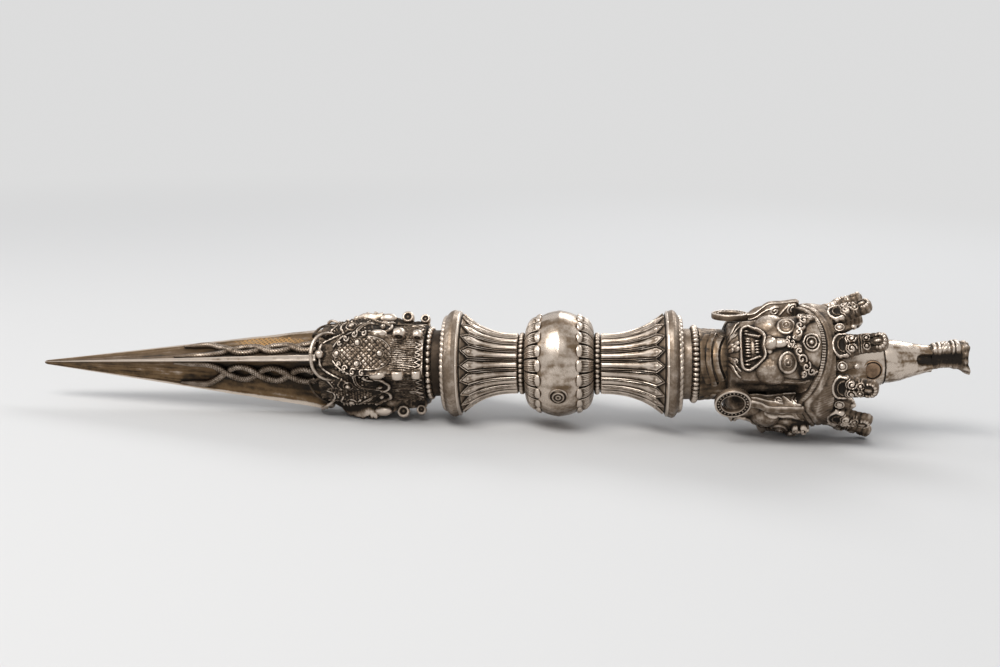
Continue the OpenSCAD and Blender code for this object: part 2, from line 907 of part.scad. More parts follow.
// The room that two neighbouring ears and their earrings take from a face
module ear_slots() {
    room_half = ring_r + ring_room;
    for (side = [-between, between])
        rotate([0, 0, side]) {
            translate([0, -ear_thick / 2 - seat_gap, -over])
                cube([3 * face_r, ear_thick + 2 * seat_gap, face_len + 2 * over]);
            translate([0, -room_half, -over])
                cube([3 * face_r, 2 * room_half, ear_lobe_at - at_head + over + ring_room]);
        }
}

module ear(a, lobe_r) {
    color("rosybrown")
        turned()
            rotate([0, 0, a])
                difference() {
                    translate([0, ear_thick / 2, 0])
                        rotate([90, 0, 0])
                            linear_extrude(height = ear_thick)
                                polygon([[face_seat_r, ear_root_at],
                                    [ear_root_r, ear_root_at],
                                    [lobe_r, ear_foot_at],
                                    [lobe_r - lobe_high, ear_foot_at],
                                    [ear_root_r - ear_high, ear_lobe_at + lobe_len],
                                    [face_seat_r, ear_lobe_at + lobe_len]]);
                    ring_disc(lobe_r, ring_r + seat_gap, ring_thick + 2 * seat_gap);
                }
}

module ring_disc(lobe_r, r, thick) {
    put(lobe_r - ring_inset, 0, ring_at)
        rotate([0, 90, 0])
            cylinder(h = thick, r = r, center = true);
}

module earring(a, lobe_r) {
    color("gainsboro")
        turned()
            rotate([0, 0, a])
                difference() {
                    ring_disc(lobe_r, ring_r, ring_thick);
                    ring_disc(lobe_r, ring_hole_r, 2 * ring_thick);
                }
}

// Hair band with the sockets for the crown's pegs
module hair_band() {
    color("rosybrown")
        turned()
            difference() {
                translate([0, 0, at_band])
                    cylinder(h = band_len, r = band_r);
                translate([0, 0, at_band - over])
                    cylinder(h = band_len + 2 * over, r = face_seat_r);
                for (i = [0:2 * skulls - 1])
                    put(skull_at_r, 180 * i / skulls, at_crown - peg_len - seat_gap)
                        cylinder(h = peg_len + over, r = peg_r + seat_gap);
            }
}

// A skull: a rounded slab that leans outwards, with two spiral eyes and an open snout. It
// starts below the crown's seat and is cut off there
skull_below = 3;
skull_eye_r = 1.3;
skull_eye_sink = 0.7;
mouth_gap = 0.9;
mouth_deep = 0.6;

module skull(length) {
    cut = 20;
    put(skull_at_r, 0, at_crown) {
        difference() {
            rotate([0, skull_lean, 0])
                difference() {
                    union() {
                        translate([-skull_thick / 2, 0, 0])
                            rotate([90, 0, 90])
                                linear_extrude(height = skull_thick)
                                    skull_outline(length);
                        for (side = [-1, 1])
                            translate([skull_thick / 2 - skull_eye_sink, side * skull_w / 4, length * 0.42])
                                sphere(r = skull_eye_r, $fn = small_fn);
                    }
                    // Open mouth across the snout
                    translate([skull_thick / 2 - mouth_deep, -skull_w / 4, length * 0.74])
                        cube([2 * mouth_deep, skull_w / 2, mouth_gap]);
                }
            translate([-cut / 2, -cut / 2, -cut])
                cube(cut);
        }
        translate([0, 0, -peg_len])
            cylinder(h = peg_len + root, r = peg_r);
    }
}

module skull_outline(length) {
    translate([-skull_w / 2, -skull_below])
        square([skull_w, length - skull_tip_r + skull_below]);
    translate([0, length - skull_tip_r])
        circle(r = skull_tip_r);
}

module tall_skulls() {
    color("silver")
        turned()
            for (i = [0:skulls - 1])
                if (i % (skulls / 3) == 0)
                    rotate([0, 0, 360 * i / skulls])
                        skull(tall_skull);
}

module short_skulls() {
    color("gainsboro")
        turned()
            for (i = [0:skulls - 1])
                if (i % (skulls / 3) != 0)
                    rotate([0, 0, 360 * i / skulls])
                        skull(short_skull);
}

// Jewels between the skulls: a pointed plaque with a ball
jewel_thick = 1.8;
jewel_ball_r = 0.9;

module crown_jewels() {
    color("tan")
        turned()
            for (i = [0:skulls - 1])
                put(skull_at_r, 360 * (i + 0.5) / skulls, at_crown) {
                    translate([-jewel_thick / 2, 0, 0])
                        rotate([90, 0, 90])
                            linear_extrude(height = jewel_thick)
                                polygon([[-jewel_w / 2, 0], [jewel_w / 2, 0],
                                    [jewel_w / 2, jewel_len / 2], [0, jewel_len],
                                    [-jewel_w / 2, jewel_len / 2]]);
                    translate([jewel_thick / 2, 0, jewel_len * 0.4])
                        sphere(r = jewel_ball_r, $fn = small_fn);
                    translate([0, 0, -peg_len])
                        cylinder(h = peg_len + root, r = peg_r);
                }
}

// Topknot: a rounded body that swells a little below its middle, with three flat seats for the
// medallions. Its foot starts below the crown's seat and is cut off there
knot_foot = 1;
medal_angle = 36;
medal_at = at_crown + knot_len * 0.74;
medal_seat = neck_r + 0.75;
knot_top_r = neck_r + 0.4;
knot_steps = 10;
knot_swell = 0.12;

module medal_places() {
    for (a = [medal_angle:third:359])
        put(medal_seat, a, medal_at)
            rotate([0, 90, 0])
                children();
}

module topknot() {
    color("tan")
        turned()
            difference() {
                leaned()
                    difference() {
                        turned_body(at_crown, knot_len, concat([[knot_r, -knot_foot]],
                            [for (i = [0:knot_steps]) let (a = 90 * i / knot_steps)
                                [knot_top_r + (knot_r - knot_top_r) * cos(a)
                                    * (1 + knot_swell * sin(2 * a)), knot_len * i / knot_steps]]));
                        medal_places()
                            cylinder(h = knot_r, r = medal_r + seat_gap);
                    }
                translate([0, 0, at_crown - 3 * knot_foot])
                    cylinder(h = 3 * knot_foot, r = 2 * knot_r);
                rod_bore();
            }
}

module medallions() {
    color("gold")
        turned()
            leaned()
                medal_places()
                    cylinder(h = medal_thick, r = medal_r);
}

neck_steps = 8;
neck_curve = 1.5;

module topknot_neck() {
    color("silver")
        turned()
            difference() {
                leaned()
                    difference() {
                        turned_body(at_neck, neck_len,
                            [for (i = [0:neck_steps]) let (s = i / neck_steps)
                                [neck_end_r + (neck_r - neck_end_r) * pow(cos(90 * s), neck_curve),
                                    neck_len * s]]);
                        translate([0, 0, at_finial - spigot_len - seat_gap])
                            cylinder(h = spigot_len + seat_gap + over, r = spigot_r + seat_gap);
                    }
                translate([0, 0, at_neck - over])
                    cylinder(h = rod_in_neck + over, r = bore_r);
            }
}

// Finial: a flared blunt end with ribs across its crest and a scoop in the side below it.
// Its outline, as shares of its length and of the neck's or its own end radius
finial_shape = [[neck_end_r, 0], [neck_end_r * 0.86, 0.25], [neck_end_r, 0.5],
    [finial_r * 0.93, 0.78], [finial_r, 1]];
scoop_angle = 40;
scoop_at = 0.42;
crest_from = -115;
crest_span = 130;
crest_places = [0.3:0.14:0.72];
crest_rib_r = 0.7;

module finial() {
    color("silver")
        turned()
            leaned()
                translate([0, 0, at_finial]) {
                    difference() {
                        rotate_extrude()
                            polygon(concat([[0, 0]],
                                [for (p = finial_shape) [p[0], finial_len * p[1]]],
                                [[0, finial_len]]));
                        rotate([0, 0, scoop_angle])
                            translate([finial_r * 1.7, 0, finial_len * scoop_at])
                                rotate([90, 0, 0])
                                    cylinder(h = 4 * finial_r, r = finial_r, center = true);
                    }
                    translate([0, 0, -spigot_len])
                        cylinder(h = spigot_len + root, r = spigot_r);
                    for (s = crest_places)
                        translate([0, 0, finial_len * s])
                            rotate([0, 0, crest_from])
                                rotate_extrude(angle = crest_span)
                                    translate([neck_end_r * 0.86, 0])
                                        circle(r = crest_rib_r);
                }
}

blade();
serpent_pair(0);  // serpents_front
serpent_pair(1);  // serpents_lower
serpent_pair(2);  // serpents_rear
core_rod();
guard_core();
sea_monster(0, nose_follow * front_turn);  // sea_monster_front
sea_monster(third, 0);  // sea_monster_lower
sea_monster(2 * third, 0);  // sea_monster_rear
guard_bead_ring();
guard_neck();
lower_dome();
lower_rope_ring();
lower_grip_flare();
lower_bead_ring();
lower_petal_cup();
knot_bulb();
knot_pin();
upper_petal_cup();
upper_bead_ring();
upper_grip_flare();
upper_dome();
upper_rope_ring();
collar();
throat_bead_ring();
throat();
head_core();
face(0);  // face_front
face(third);  // face_lower
face(2 * third);  // face_rear
ear(between + 2 * third, lobe_top_r);  // ear_top
ear(between, lobe_front_r);  // ear_front
ear(between + third, lobe_rear_r);  // ear_rear
earring(between + 2 * third, lobe_top_r);  // earring_top
earring(between, lobe_front_r);  // earring_front
earring(between + third, lobe_rear_r);  // earring_rear
hair_band();
tall_skulls();
short_skulls();
crown_jewels();
topknot();
medallions();
topknot_neck();
finial();
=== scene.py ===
import math

import bpy
import numpy as np
from bpy.props import FloatProperty, FloatVectorProperty, IntProperty, PointerProperty
from mathutils import Matrix, Vector


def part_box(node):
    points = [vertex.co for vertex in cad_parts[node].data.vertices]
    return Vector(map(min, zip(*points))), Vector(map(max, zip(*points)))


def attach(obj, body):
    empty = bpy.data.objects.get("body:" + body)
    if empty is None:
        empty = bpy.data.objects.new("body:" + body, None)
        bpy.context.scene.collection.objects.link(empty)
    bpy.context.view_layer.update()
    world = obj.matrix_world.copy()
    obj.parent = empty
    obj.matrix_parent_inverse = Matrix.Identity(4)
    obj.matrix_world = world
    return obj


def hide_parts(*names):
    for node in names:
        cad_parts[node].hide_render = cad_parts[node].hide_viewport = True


bl_info = {
    "name": "Phurba",
    "version": (1, 0, 0),
    "blender": (4, 5, 0),
    "location": "3D View > Sidebar > Phurba",
    "description": "A three winged ritual dagger with a three faced head, dressed over its packed solids",
    "category": "Add Mesh",
}

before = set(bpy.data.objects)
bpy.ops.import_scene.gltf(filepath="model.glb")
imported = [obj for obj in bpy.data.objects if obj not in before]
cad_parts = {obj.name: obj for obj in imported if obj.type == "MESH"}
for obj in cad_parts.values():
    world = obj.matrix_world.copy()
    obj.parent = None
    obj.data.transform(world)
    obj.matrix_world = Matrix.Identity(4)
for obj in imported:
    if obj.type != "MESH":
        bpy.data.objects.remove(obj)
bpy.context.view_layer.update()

# Places along the dagger's axis, in millimetres from the blade's tip, as the solids have them
PLACE = {
    "guard": 95.5, "guard_beads": 129.4, "guard_neck": 131.6, "low_dome": 134.6,
    "low_flare": 139.8, "low_beads": 159.0, "low_cup": 161.0, "bulb": 165.5,
    "top_cup": 178.5, "top_beads": 183.0, "top_flare": 185.0, "top_dome": 206.3,
    "collar": 210.3, "throat_beads": 213.4, "throat": 216.0, "head": 224.3,
    "crown": 255.8, "neck": 273.3, "finial": 288.3, "end": 300.0,
}
# Roll of the lying dagger about its axis, the head's turn over the blade, and the cross pin's angle
LIE_ROLL, HEAD_TURN, PIN_ANGLE = 60.0, -3.0, 53.0
# The golden patch on the upper wing's face: its middle and half its size, in metres
PATCH_AT = (-0.0745, 0.0068, 0.0209)
PATCH_SIZE = (0.0145, 0.0030, 0.0040)
# How near other metal darkens a hollow, as patina, and how near the floor darkens the metal above it, as
# painted shade; and half the width of the floor, in metres
CAVITY_REACH, FLOOR_REACH = 0.0022, 6.0
# Copies are welded where their points are nearer than this, in millimetres
WELD = 0.002
# Lean of the topknot and all above it over the crown's seat, and the side to which they lean
KNOT_LEAN, LEAN_TOWARD = 3.4, -75.0
SIDES = {"front": 0.0, "lower": 120.0, "rear": 240.0}
# Angles of the blade's wings, the first again at the end: the front one is turned a little
WINGS = (9.5, 120.0, 240.0, 369.5)
VALLEYS = {"front": 0, "lower": 1, "rear": 2}
BLADE_R, TIP_R, VALLEY_R, WING_EDGE = 15.5, 0.7, 4.7, 2.0
# Half the angle of a wing's flat edge
EDGE_HALF = math.degrees(math.asin(WING_EDGE / 2 / BLADE_R))
# How far the front monster's nose follows the turned wing
NOSE_TURN = 4.3
# Angle of an ear, the radius over its lobe, how far its end rises above the others, and how its bar leans
EARS = {"top": (300.0, 16.8, 0.8, -0.15), "front": (60.0, 18.9, 0.0, 0.24), "rear": (180.0, 17.8, 0.3, 0.0)}
# Radii of the plain bores behind the guard and the faces, and behind the grip and the throat
CORE_BORE, ROD_BORE = 10.65, 7.0
# Radii at which angles are measured as sideways distances on the guard and on the head
GUARD_ARC, HEAD_ARC = 15.0, 19.0
# Half the angle of a face, its height to the hair band, and the band's upper edge
FACE_HALF, FACE_HIGH, BAND_HIGH = 56.6, 27.0, 31.5
# Petals of a cup, and columns of points over one petal
CUP_PETALS, PETAL_COLS = 20, 33
# How far each skull of the crown is bent outwards at its tip, from the front face on, 40 degrees apart
SKULL_BEND = (0.5, -1.6, -1.8, -0.4, 0.0, 0.3, 0.0, 0.9, 0.8)


def rotation(degrees, axis="Z"):
    return Matrix.Rotation(math.radians(degrees), 4, axis)


def placed_by(matrix, points):
    """Points where a matrix takes them."""
    m = np.array(matrix)
    return points @ m[:3, :3].T + m[:3, 3]


def axis_matrix():
    """From millimetres on the upright axis to metres in the frame, found from two turned solids."""
    low = sum(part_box("guard_neck"), Vector()) / 2
    high = sum(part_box("collar"), Vector()) / 2
    low_at = (PLACE["guard_neck"] + PLACE["low_dome"]) / 2
    high_at = (PLACE["collar"] + PLACE["throat_beads"]) / 2
    if abs((high - low).length * 1000 - (high_at - low_at)) > 0.2:
        raise RuntimeError("the packed solids have other lengths than this script")
    along = (high - low).normalized()
    tip = low - along * low_at / 1000
    tilt = math.atan2(along.z, along.x)
    return (Matrix.Translation(tip) @ Matrix.Rotation(-tilt, 4, "Y")
            @ Matrix.Rotation(math.pi / 2, 4, "Y")
            @ rotation(180 + LIE_ROLL)
            @ Matrix.Scale(0.001, 4))


LAY = axis_matrix()
LAY_HEAD = LAY @ rotation(HEAD_TURN)
LEAN = (Matrix.Translation((0, 0, PLACE["crown"])) @ rotation(LEAN_TOWARD) @ rotation(KNOT_LEAN, "Y")
        @ rotation(-LEAN_TOWARD) @ Matrix.Translation((0, 0, -PLACE["crown"])))
LAY_LEAN = LAY_HEAD @ LEAN


# Forms: points in millimetres, faces, and how far each point stands out of its surroundings, with painted
# shade added in the neck's recess, the finial's hollow and beside the front wing's edge

class Form:
    """A closed shape under construction."""

    def __init__(self, points, quads, tris, wear_and_shade):
        self.points = np.asarray(points, float).reshape(-1, 3)
        self.quads = np.asarray(quads, int).reshape(-1, 4)
        self.tris = np.asarray(tris, int).reshape(-1, 3)
        self.wear_and_shade = np.broadcast_to(np.asarray(wear_and_shade, float).ravel(), (len(self.points),)).copy()

    def at(self, points):
        """The same shape with its points elsewhere."""
        return Form(points, self.quads, self.tris, self.wear_and_shade)

    def placed(self, name):
        """The same shape, lifted to a place along the dagger's axis."""
        return self.moved((0, 0, PLACE[name]))

    def moved(self, offset):
        return self.at(self.points + np.asarray(offset, float))

    def turned(self, degrees, axis="Z"):
        turn = np.array(Matrix.Rotation(math.radians(degrees), 3, axis))
        return self.at(self.points @ turn.T)

    def outward(self):
        """The same shape with its faces pointing outwards."""
        p = self.points - self.points.mean(0)
        t = np.concatenate([self.tris, self.quads[:, [0, 1, 2]], self.quads[:, [0, 2, 3]]])
        volume = np.einsum("ij,ij->i", p[t[:, 0]], np.cross(p[t[:, 1]], p[t[:, 2]])).sum()
        if volume < 0:
            return Form(self.points, self.quads[:, ::-1], self.tris[:, ::-1], self.wear_and_shade)
        return self


def joined(forms):
    """Several closed shapes as one form."""
    forms = [f.outward() for f in forms]
    starts = np.cumsum([0] + [len(f.points) for f in forms[:-1]])
    return Form(np.concatenate([f.points for f in forms]),
                np.concatenate([f.quads + s for f, s in zip(forms, starts)]),
                np.concatenate([f.tris + s for f, s in zip(forms, starts)]),
                np.concatenate([f.wear_and_shade for f in forms]))


def grid_quads(rows, cols, wrap):
    i = np.arange(rows - 1)[:, None]
    j = np.arange(cols if wrap else cols - 1)[None, :]
    k = (j + 1) % cols
    return np.stack([i * cols + j, i * cols + k, (i + 1) * cols + k, (i + 1) * cols + j], -1).reshape(-1, 4)


def shell(outer, inner_r, wear_and_shade, wrap, sides=True):
    """A surface round the axis, given by rows of points, closed by a plain bore behind it."""
    rows, cols = outer.shape[:2]
    flat = outer.copy()
    reach = np.hypot(flat[..., 0], flat[..., 1])[..., None]
    flat[..., :2] = flat[..., :2] / reach * inner_r
    points = np.concatenate([outer.reshape(-1, 3), flat[0], flat[-1]])
    a = np.arange(cols if wrap else cols - 1)
    b = (a + 1) % cols
    last, first_in, last_in = (rows - 1) * cols, rows * cols, rows * cols + cols
    quads = [grid_quads(rows, cols, wrap),
             np.stack([b, a, first_in + a, first_in + b], -1),
             np.stack([first_in + b, first_in + a, last_in + a, last_in + b], -1),
             np.stack([last_in + b, last_in + a, last + a, last + b], -1)]
    tris = np.zeros((0, 3), int)
    if not wrap and sides:
        i = np.arange(rows - 1)
        corner = np.full(rows - 1, first_in)
        far = corner + cols - 1
        tris = np.concatenate([
            np.stack([corner, i * cols, (i + 1) * cols], -1),
            [[first_in, last, last_in]],
            np.stack([far, (i + 1) * cols + cols - 1, i * cols + cols - 1], -1),
            [[first_in + cols - 1, last_in + cols - 1, last + cols - 1]]])
    low = np.concatenate([wear_and_shade.ravel(), np.full(2 * cols, 0.2)])
    return Form(points, np.concatenate(quads), tris, low)


def loft(rings, wear_and_shade):
    """Closed rings of points joined to a skin, with a pole at each end."""
    rows, cols = rings.shape[:2]
    points = np.concatenate([rings.reshape(-1, 3), [rings[0].mean(0)], [rings[-1].mean(0)]])
    a = np.arange(cols)
    b = (a + 1) % cols
    last, pole = (rows - 1) * cols, rows * cols
    tris = np.concatenate([np.stack([np.full(cols, pole), b, a], -1),
                           np.stack([np.full(cols, pole + 1), last + a, last + b], -1)])
    wear_and_shade = np.broadcast_to(wear_and_shade, (rows, cols))
    low = np.concatenate([wear_and_shade.ravel(), [wear_and_shade[0].mean(), wear_and_shade[-1].mean()]])
    return Form(points, grid_quads(rows, cols, True), tris, low)


def ellipsoid(radii, rows, cols, wear_and_shade):
    """A ball or egg with its poles on z."""
    lat = np.linspace(-90, 90, rows + 2)[1:-1]
    lon = np.linspace(0, 360, cols, endpoint=False)
    la, lo = np.meshgrid(np.radians(lat), np.radians(lon), indexing="ij")
    unit = np.stack([np.cos(la) * np.cos(lo), np.cos(la) * np.sin(lo), np.sin(la)], -1)
    return loft(unit * np.asarray(radii, float), wear_and_shade)


def tube(path, radius, sides, wear_and_shade):
    """A round bar along a path; radius is one value or one for each point."""
    path = np.asarray(path, float)
    radius = np.broadcast_to(radius, (len(path),))
    along = np.gradient(path, axis=0)
    along /= np.linalg.norm(along, axis=1)[:, None]
    side = np.cross(along[0], [0.31, 0.17, 0.93])
    rings = []
    turn = np.radians(all_round(sides))
    for p, a, r in zip(path, along, radius):
        side = side - a * (side @ a)
        side /= np.linalg.norm(side)
        up = np.cross(a, side)
        rings.append(p + r * (np.cos(turn)[:, None] * side + np.sin(turn)[:, None] * up))
    return loft(np.array(rings), wear_and_shade)


def curve_through(points, count):
    """A smooth path of count points through a few."""
    points = np.asarray(points, float)
    padded = np.concatenate([[2 * points[0] - points[1]], points, [2 * points[-1] - points[-2]]])
    at = np.linspace(0, len(points) - 1 - 1e-9, count)
    i = at.astype(int)
    s = (at - i)[:, None]
    a, b, c, d = padded[i], padded[i + 1], padded[i + 2], padded[i + 3]
    return 0.5 * (2 * b + (c - a) * s + (2 * a - 5 * b + 4 * c - d) * s ** 2
                  + (3 * b - a - 3 * c + d) * s ** 3)


def mirrored(hand, points, count):
    """A smooth path through points given for one side: hand is 1, or -1 for the other side."""
    return curve_through([(hand * x, y) for x, y in points], count)


def all_round(count):
    """Even angles all the way round the axis, in degrees."""
    return np.linspace(0, 360, count, endpoint=False)


def from_side(degrees):
    """Angle from the middle of the nearest of three sides."""
    return (degrees + 60) % 120 - 60


def on_axis(degrees, radius, place):
    """Points from their angle, radius and place along the axis."""
    turn = np.radians(degrees)
    return np.stack(np.broadcast_arrays(radius * np.cos(turn), radius * np.sin(turn), place), -1)


def blurred(h, cells, wrap):
    """A surface's height averaged over a few cells each way."""
    for axis, mode in ((0, "edge"), (1, "wrap" if wrap else "edge")):
        pad = [(0, 0), (0, 0)]
        pad[axis] = (cells + 1, cells)
        total = np.cumsum(np.pad(h, pad, mode=mode), axis=axis)
        size = 2 * cells + 1
        ahead = [slice(None), slice(None)]
        behind = [slice(None), slice(None)]
        ahead[axis], behind[axis] = slice(size, None), slice(None, -size)
        h = (total[tuple(ahead)] - total[tuple(behind)]) / size
    return h


def worn_from(h, step, wrap, depth=0.32, level=0.56):
    """How far each point stands out of its surroundings: 0 in a groove, 1 on a ridge."""
    near = h - blurred(h, max(1, round(0.55 / step)), wrap)
    far = h - blurred(h, max(2, round(1.7 / step)), wrap)
    return np.clip(level + (0.75 * near + 0.45 * far) / depth * 0.5, 0, 1)


def cast_grain(shape, size, high, seed, wrap=False):
    """Small unevenness of a cast surface, in cells of a given size."""
    made = np.random.default_rng(seed).normal(size=shape)
    made = blurred(blurred(made, size, wrap), size, wrap)
    return made / max(made.std(), 1e-9) * high


def streaks(shape, long, seed):
    """Unevenness drawn out along the rows, as filing leaves it."""
    few = cast_grain((shape[0] // long + 3, shape[1]), 1, 1.0, seed, True)
    at = np.linspace(0, len(few) - 1.001, shape[0])
    i = at.astype(int)
    return few[i] + (few[i + 1] - few[i]) * (at - i)[:, None]


def rough_cast(shape, high, seed, wrap=False):
    """Uneven cast metal: small pits on broader swellings."""
    return sum(cast_grain(shape, size, high * share, seed + size, wrap)
               for size, share in ((1, 0.55), (3, 0.7), (8, 0.8)))


def soft(x, low, high):
    """0 below low, 1 above high, smooth between."""
    s = np.clip((x - low) / (high - low), 0, 1)
    return s * s * (3 - 2 * s)


def dome(away):
    """Height of a round top by the square of the distance from its middle."""
    return np.sqrt(np.clip(1 - away, 0, 1))


def bell(away, width):
    """1 in the middle, falling off smoothly on both sides."""
    return np.exp(-(away / width) ** 2)


def squared(wave, power):
    """A sine or cosine whose circle is pressed towards a square with round corners."""
    return np.sign(wave) * np.abs(wave) ** power


class Chasing:
    """Raised and sunk work drawn on a surface with sideways distance u and lengthways distance v."""

    def __init__(self, u, v):
        self.u, self.v = np.broadcast_arrays(u, v)
        self.h = np.zeros(self.u.shape)

    def _near(self, low, high):
        return ((self.u > low[0]) & (self.u < high[0]) & (self.v > low[1]) & (self.v < high[1]))

    def _path(self, points, reach):
        """Mask of the points near a path, their distance from it, and their share along it."""
        points = np.asarray(points, float)
        near = self._near(points.min(0) - reach, points.max(0) + reach)
        p = np.stack([self.u[near], self.v[near]], -1)
        best = np.full(len(p), 1e9)
        share = np.zeros(len(p))
        for k, (a, b) in enumerate(zip(points[:-1], points[1:])):
            ab = b - a
            s = np.clip((p - a) @ ab / max(ab @ ab, 1e-12), 0, 1)
            d = np.linalg.norm(p - a - s[:, None] * ab, axis=1)
            closer = d < best
            best[closer] = d[closer]
            share[closer] = (k + s[closer]) / (len(points) - 1)
        return near, best, share

    def ridge(self, points, half, high, taper=0.0):
        near, away, share = self._path(points, half)
        width = half * (1 - taper * share)
        made = high * dome((away / width) ** 2) * (1 - 0.5 * taper * share)
        self.h[near] = np.maximum(self.h[near], made)

    def groove(self, points, half, deep):
        near, away, _ = self._path(points, half)
        self.h[near] -= deep * np.clip(1 - (away / half) ** 2, 0, 1)

    def ball(self, u, v, r, high, r_long=None, turn=0.0):
        r_long = r_long or r
        reach = max(r, r_long)
        near = self._near((u - reach, v - reach), (u + reach, v + reach))
        du, dv = self.u[near] - u, self.v[near] - v
        c, s = math.cos(math.radians(turn)), math.sin(math.radians(turn))
        away = ((du * c + dv * s) / r) ** 2 + ((dv * c - du * s) / r_long) ** 2
        self.h[near] = np.maximum(self.h[near], high * dome(away))

    def dent(self, u, v, r, deep, r_long=None):
        r_long = r_long or r
        away = ((self.u - u) / r) ** 2 + ((self.v - v) / r_long) ** 2
        self.h -= deep * np.clip(1 - away, 0, 1) ** 0.7

    def ring(self, u, v, r, half, high, r_long=None):
        turn = np.radians(np.linspace(0, 360, 33))
        self.ridge(np.stack([u + r * np.cos(turn), v + (r_long or r) * np.sin(turn)], -1), half, high)

    def spiral(self, u, v, r, turns, half, high, start=0.0, hand=1):
        s = np.linspace(0, 1, int(20 * turns) + 2)
        turn = np.radians(start) + hand * 2 * math.pi * turns * s
        reach = r * (1 - 0.86 * s)
        self.ridge(np.stack([u + reach * np.cos(turn), v + reach * np.sin(turn)], -1), half, high)

    def balls_along(self, points, step, r, high):
        points = np.asarray(points, float)
        length = np.concatenate([[0], np.cumsum(np.linalg.norm(np.diff(points, axis=0), axis=1))])
        for s in np.arange(step / 2, length[-1], step):
            self.ball(np.interp(s, length, points[:, 0]), np.interp(s, length, points[:, 1]), r, high)

    def inside(self, outline):
        """Signed distance to a closed outline, positive inside."""
        outline = np.asarray(outline, float)
        p = np.stack([self.u, self.v], -1)
        best = np.full(self.u.shape, 1e9)
        odd = np.zeros(self.u.shape, bool)
        for a, b in zip(outline, np.roll(outline, -1, 0)):
            ab = b - a
            s = np.clip(((p - a) @ ab) / (ab @ ab), 0, 1)
            best = np.minimum(best, np.linalg.norm(p - a - s[..., None] * ab, axis=-1))
            crosses = (a[1] > self.v) != (b[1] > self.v)
            rise = b[1] - a[1] if b[1] != a[1] else 1e-9
            odd ^= crosses & (self.u < (self.v - a[1]) * (b[0] - a[0]) / rise + a[0])
        return np.where(odd, best, -best)


# Sizes and finishes that a user would change

def count_of(name, description, default, low, high):
    return IntProperty(name=name, description=description, default=default, min=low, max=high)


def distance_of(name, description, default, low=-10.0, high=10.0):
    return FloatProperty(name=name, description=description, default=default, min=low, max=high,
                         subtype="DISTANCE", unit="LENGTH")


def angle_of(name, description, degrees):
    return FloatProperty(name=name, description=description, default=math.radians(degrees),
                         subtype="ANGLE", unit="ROTATION")


def color_of(name, description, default):
    return FloatVectorProperty(name=name, description=description, default=default, size=3,
                               min=0, max=1, subtype="COLOR")


class PhurbaForm(bpy.types.PropertyGroup):
    """Numbers and depths of the chased work."""

    petals: count_of("Petals", "Petals round each flare of the grip", 20, 12, 28)
    guard_beads: count_of("Guard beads", "Beads in the ring behind the guard", 32, 20, 48)
    grip_beads: count_of("Grip beads", "Beads in each ring beside the knot", 36, 20, 48)
    throat_beads: count_of("Throat beads", "Beads in the ring below the throat", 46, 24, 60)
    rope_turns: count_of("Rope turns", "Lozenges in each rope ring", 48, 24, 64)
    ring_notches: count_of("Earring notches", "Notches round an earring", 24, 12, 36)
    hair_lines: distance_of("Hair pitch", "Distance between the hair lines", 0.0006, 0.0004, 0.002)
    chase_depth: distance_of("Chasing depth", "Depth of the petals' chased lines", 0.00042, 0.0001, 0.0008)
    strand_radius: distance_of("Serpent radius", "Radius of a serpent's body", 0.00088, 0.0004, 0.0014)


class PhurbaFinish(bpy.types.PropertyGroup):
    """Colours of the aged metal."""

    silver_bright: color_of("Rubbed silver", "Colour of the rubbed heights", (0.645, 0.55, 0.465))
    silver_middle: color_of("Aged silver", "Colour of the even surface", (0.20, 0.148, 0.106))
    # Where shade is painted, the colour also moves towards this patina colour
    patina: color_of("Patina", "Colour in the grooves", (0.020, 0.014, 0.009))
    valley: color_of("Blade valley", "Golden brown of the blade's faces", (0.19, 0.122, 0.066))
    golden: color_of("Golden patch", "Metal rubbed bare on the upper wing", (0.60, 0.35, 0.14))
    gilt: color_of("Medallion", "Worn gilding of the medallions", (0.38, 0.255, 0.165))
    bump: distance_of("Grain height", "Height of the cast grain", 0.00006, 0, 0.0005)


class PhurbaStage(bpy.types.PropertyGroup):
    """Camera and light."""

    camera_distance: distance_of("Camera distance", "From the camera to the axis", 0.38742)
    camera_x: distance_of("Camera along the dagger", "Place of the camera along X", 0.030694)
    camera_height: angle_of("Camera elevation", "Angle above the horizon", 15)
    camera_yaw: angle_of("Camera yaw", "Turn to the left", 4.3162)
    camera_pitch: angle_of("Camera pitch", "Turn downwards", 13.703)
    camera_roll: angle_of("Camera roll", "Roll about the line of sight", 1.4254)
    lens: FloatProperty(name="Lens", description="Focal length in millimetres", default=43.2)
    floor: color_of("Floor", "Colour of the floor", (0.66, 0.655, 0.65))
    backdrop: color_of("Background", "Pale background behind the dagger", (0.72, 0.72, 0.72))
    lamp: FloatProperty(name="Lamp", description="Strength of the large lamp", default=5.0, min=0)


# Node trees

class Tree:
    """A node tree under construction, in which an input takes a value or another node's output."""

    def __init__(self, tree):
        self.tree = tree

    def put(self, socket, value):
        if isinstance(value, bpy.types.NodeSocket):
            self.tree.links.new(value, socket)
        else:
            socket.default_value = value

    def add(self, kind, inputs=(), **settings):
        node = self.tree.nodes.new(kind)
        for name, value in settings.items():
            setattr(node, name, value)
        for key, value in dict(inputs).items():
            self.put(node.inputs[key], value)
        return node

    def calc(self, kind, *values, clamp=False):
        return self.add("ShaderNodeMath", enumerate(values), operation=kind, use_clamp=clamp).outputs[0]

    def vector(self, kind, *values):
        return self.add("ShaderNodeVectorMath", enumerate(values), operation=kind).outputs

    def ranged(self, value, low, high, to_low=0.0, to_high=1.0):
        return self.add("ShaderNodeMapRange", {"Value": value, "From Min": low, "From Max": high,
                                               "To Min": to_low, "To Max": to_high},
                        interpolation_type="SMOOTHSTEP").outputs["Result"]

    def mixed(self, share, a, b):
        return self.add("ShaderNodeMix", {0: share, 6: a, 7: b}, data_type="RGBA").outputs[2]

    def mixed_shader(self, share, a, b):
        return self.add("ShaderNodeMixShader", {0: share, 1: a.outputs[0], 2: b.outputs[0]}).outputs[0]


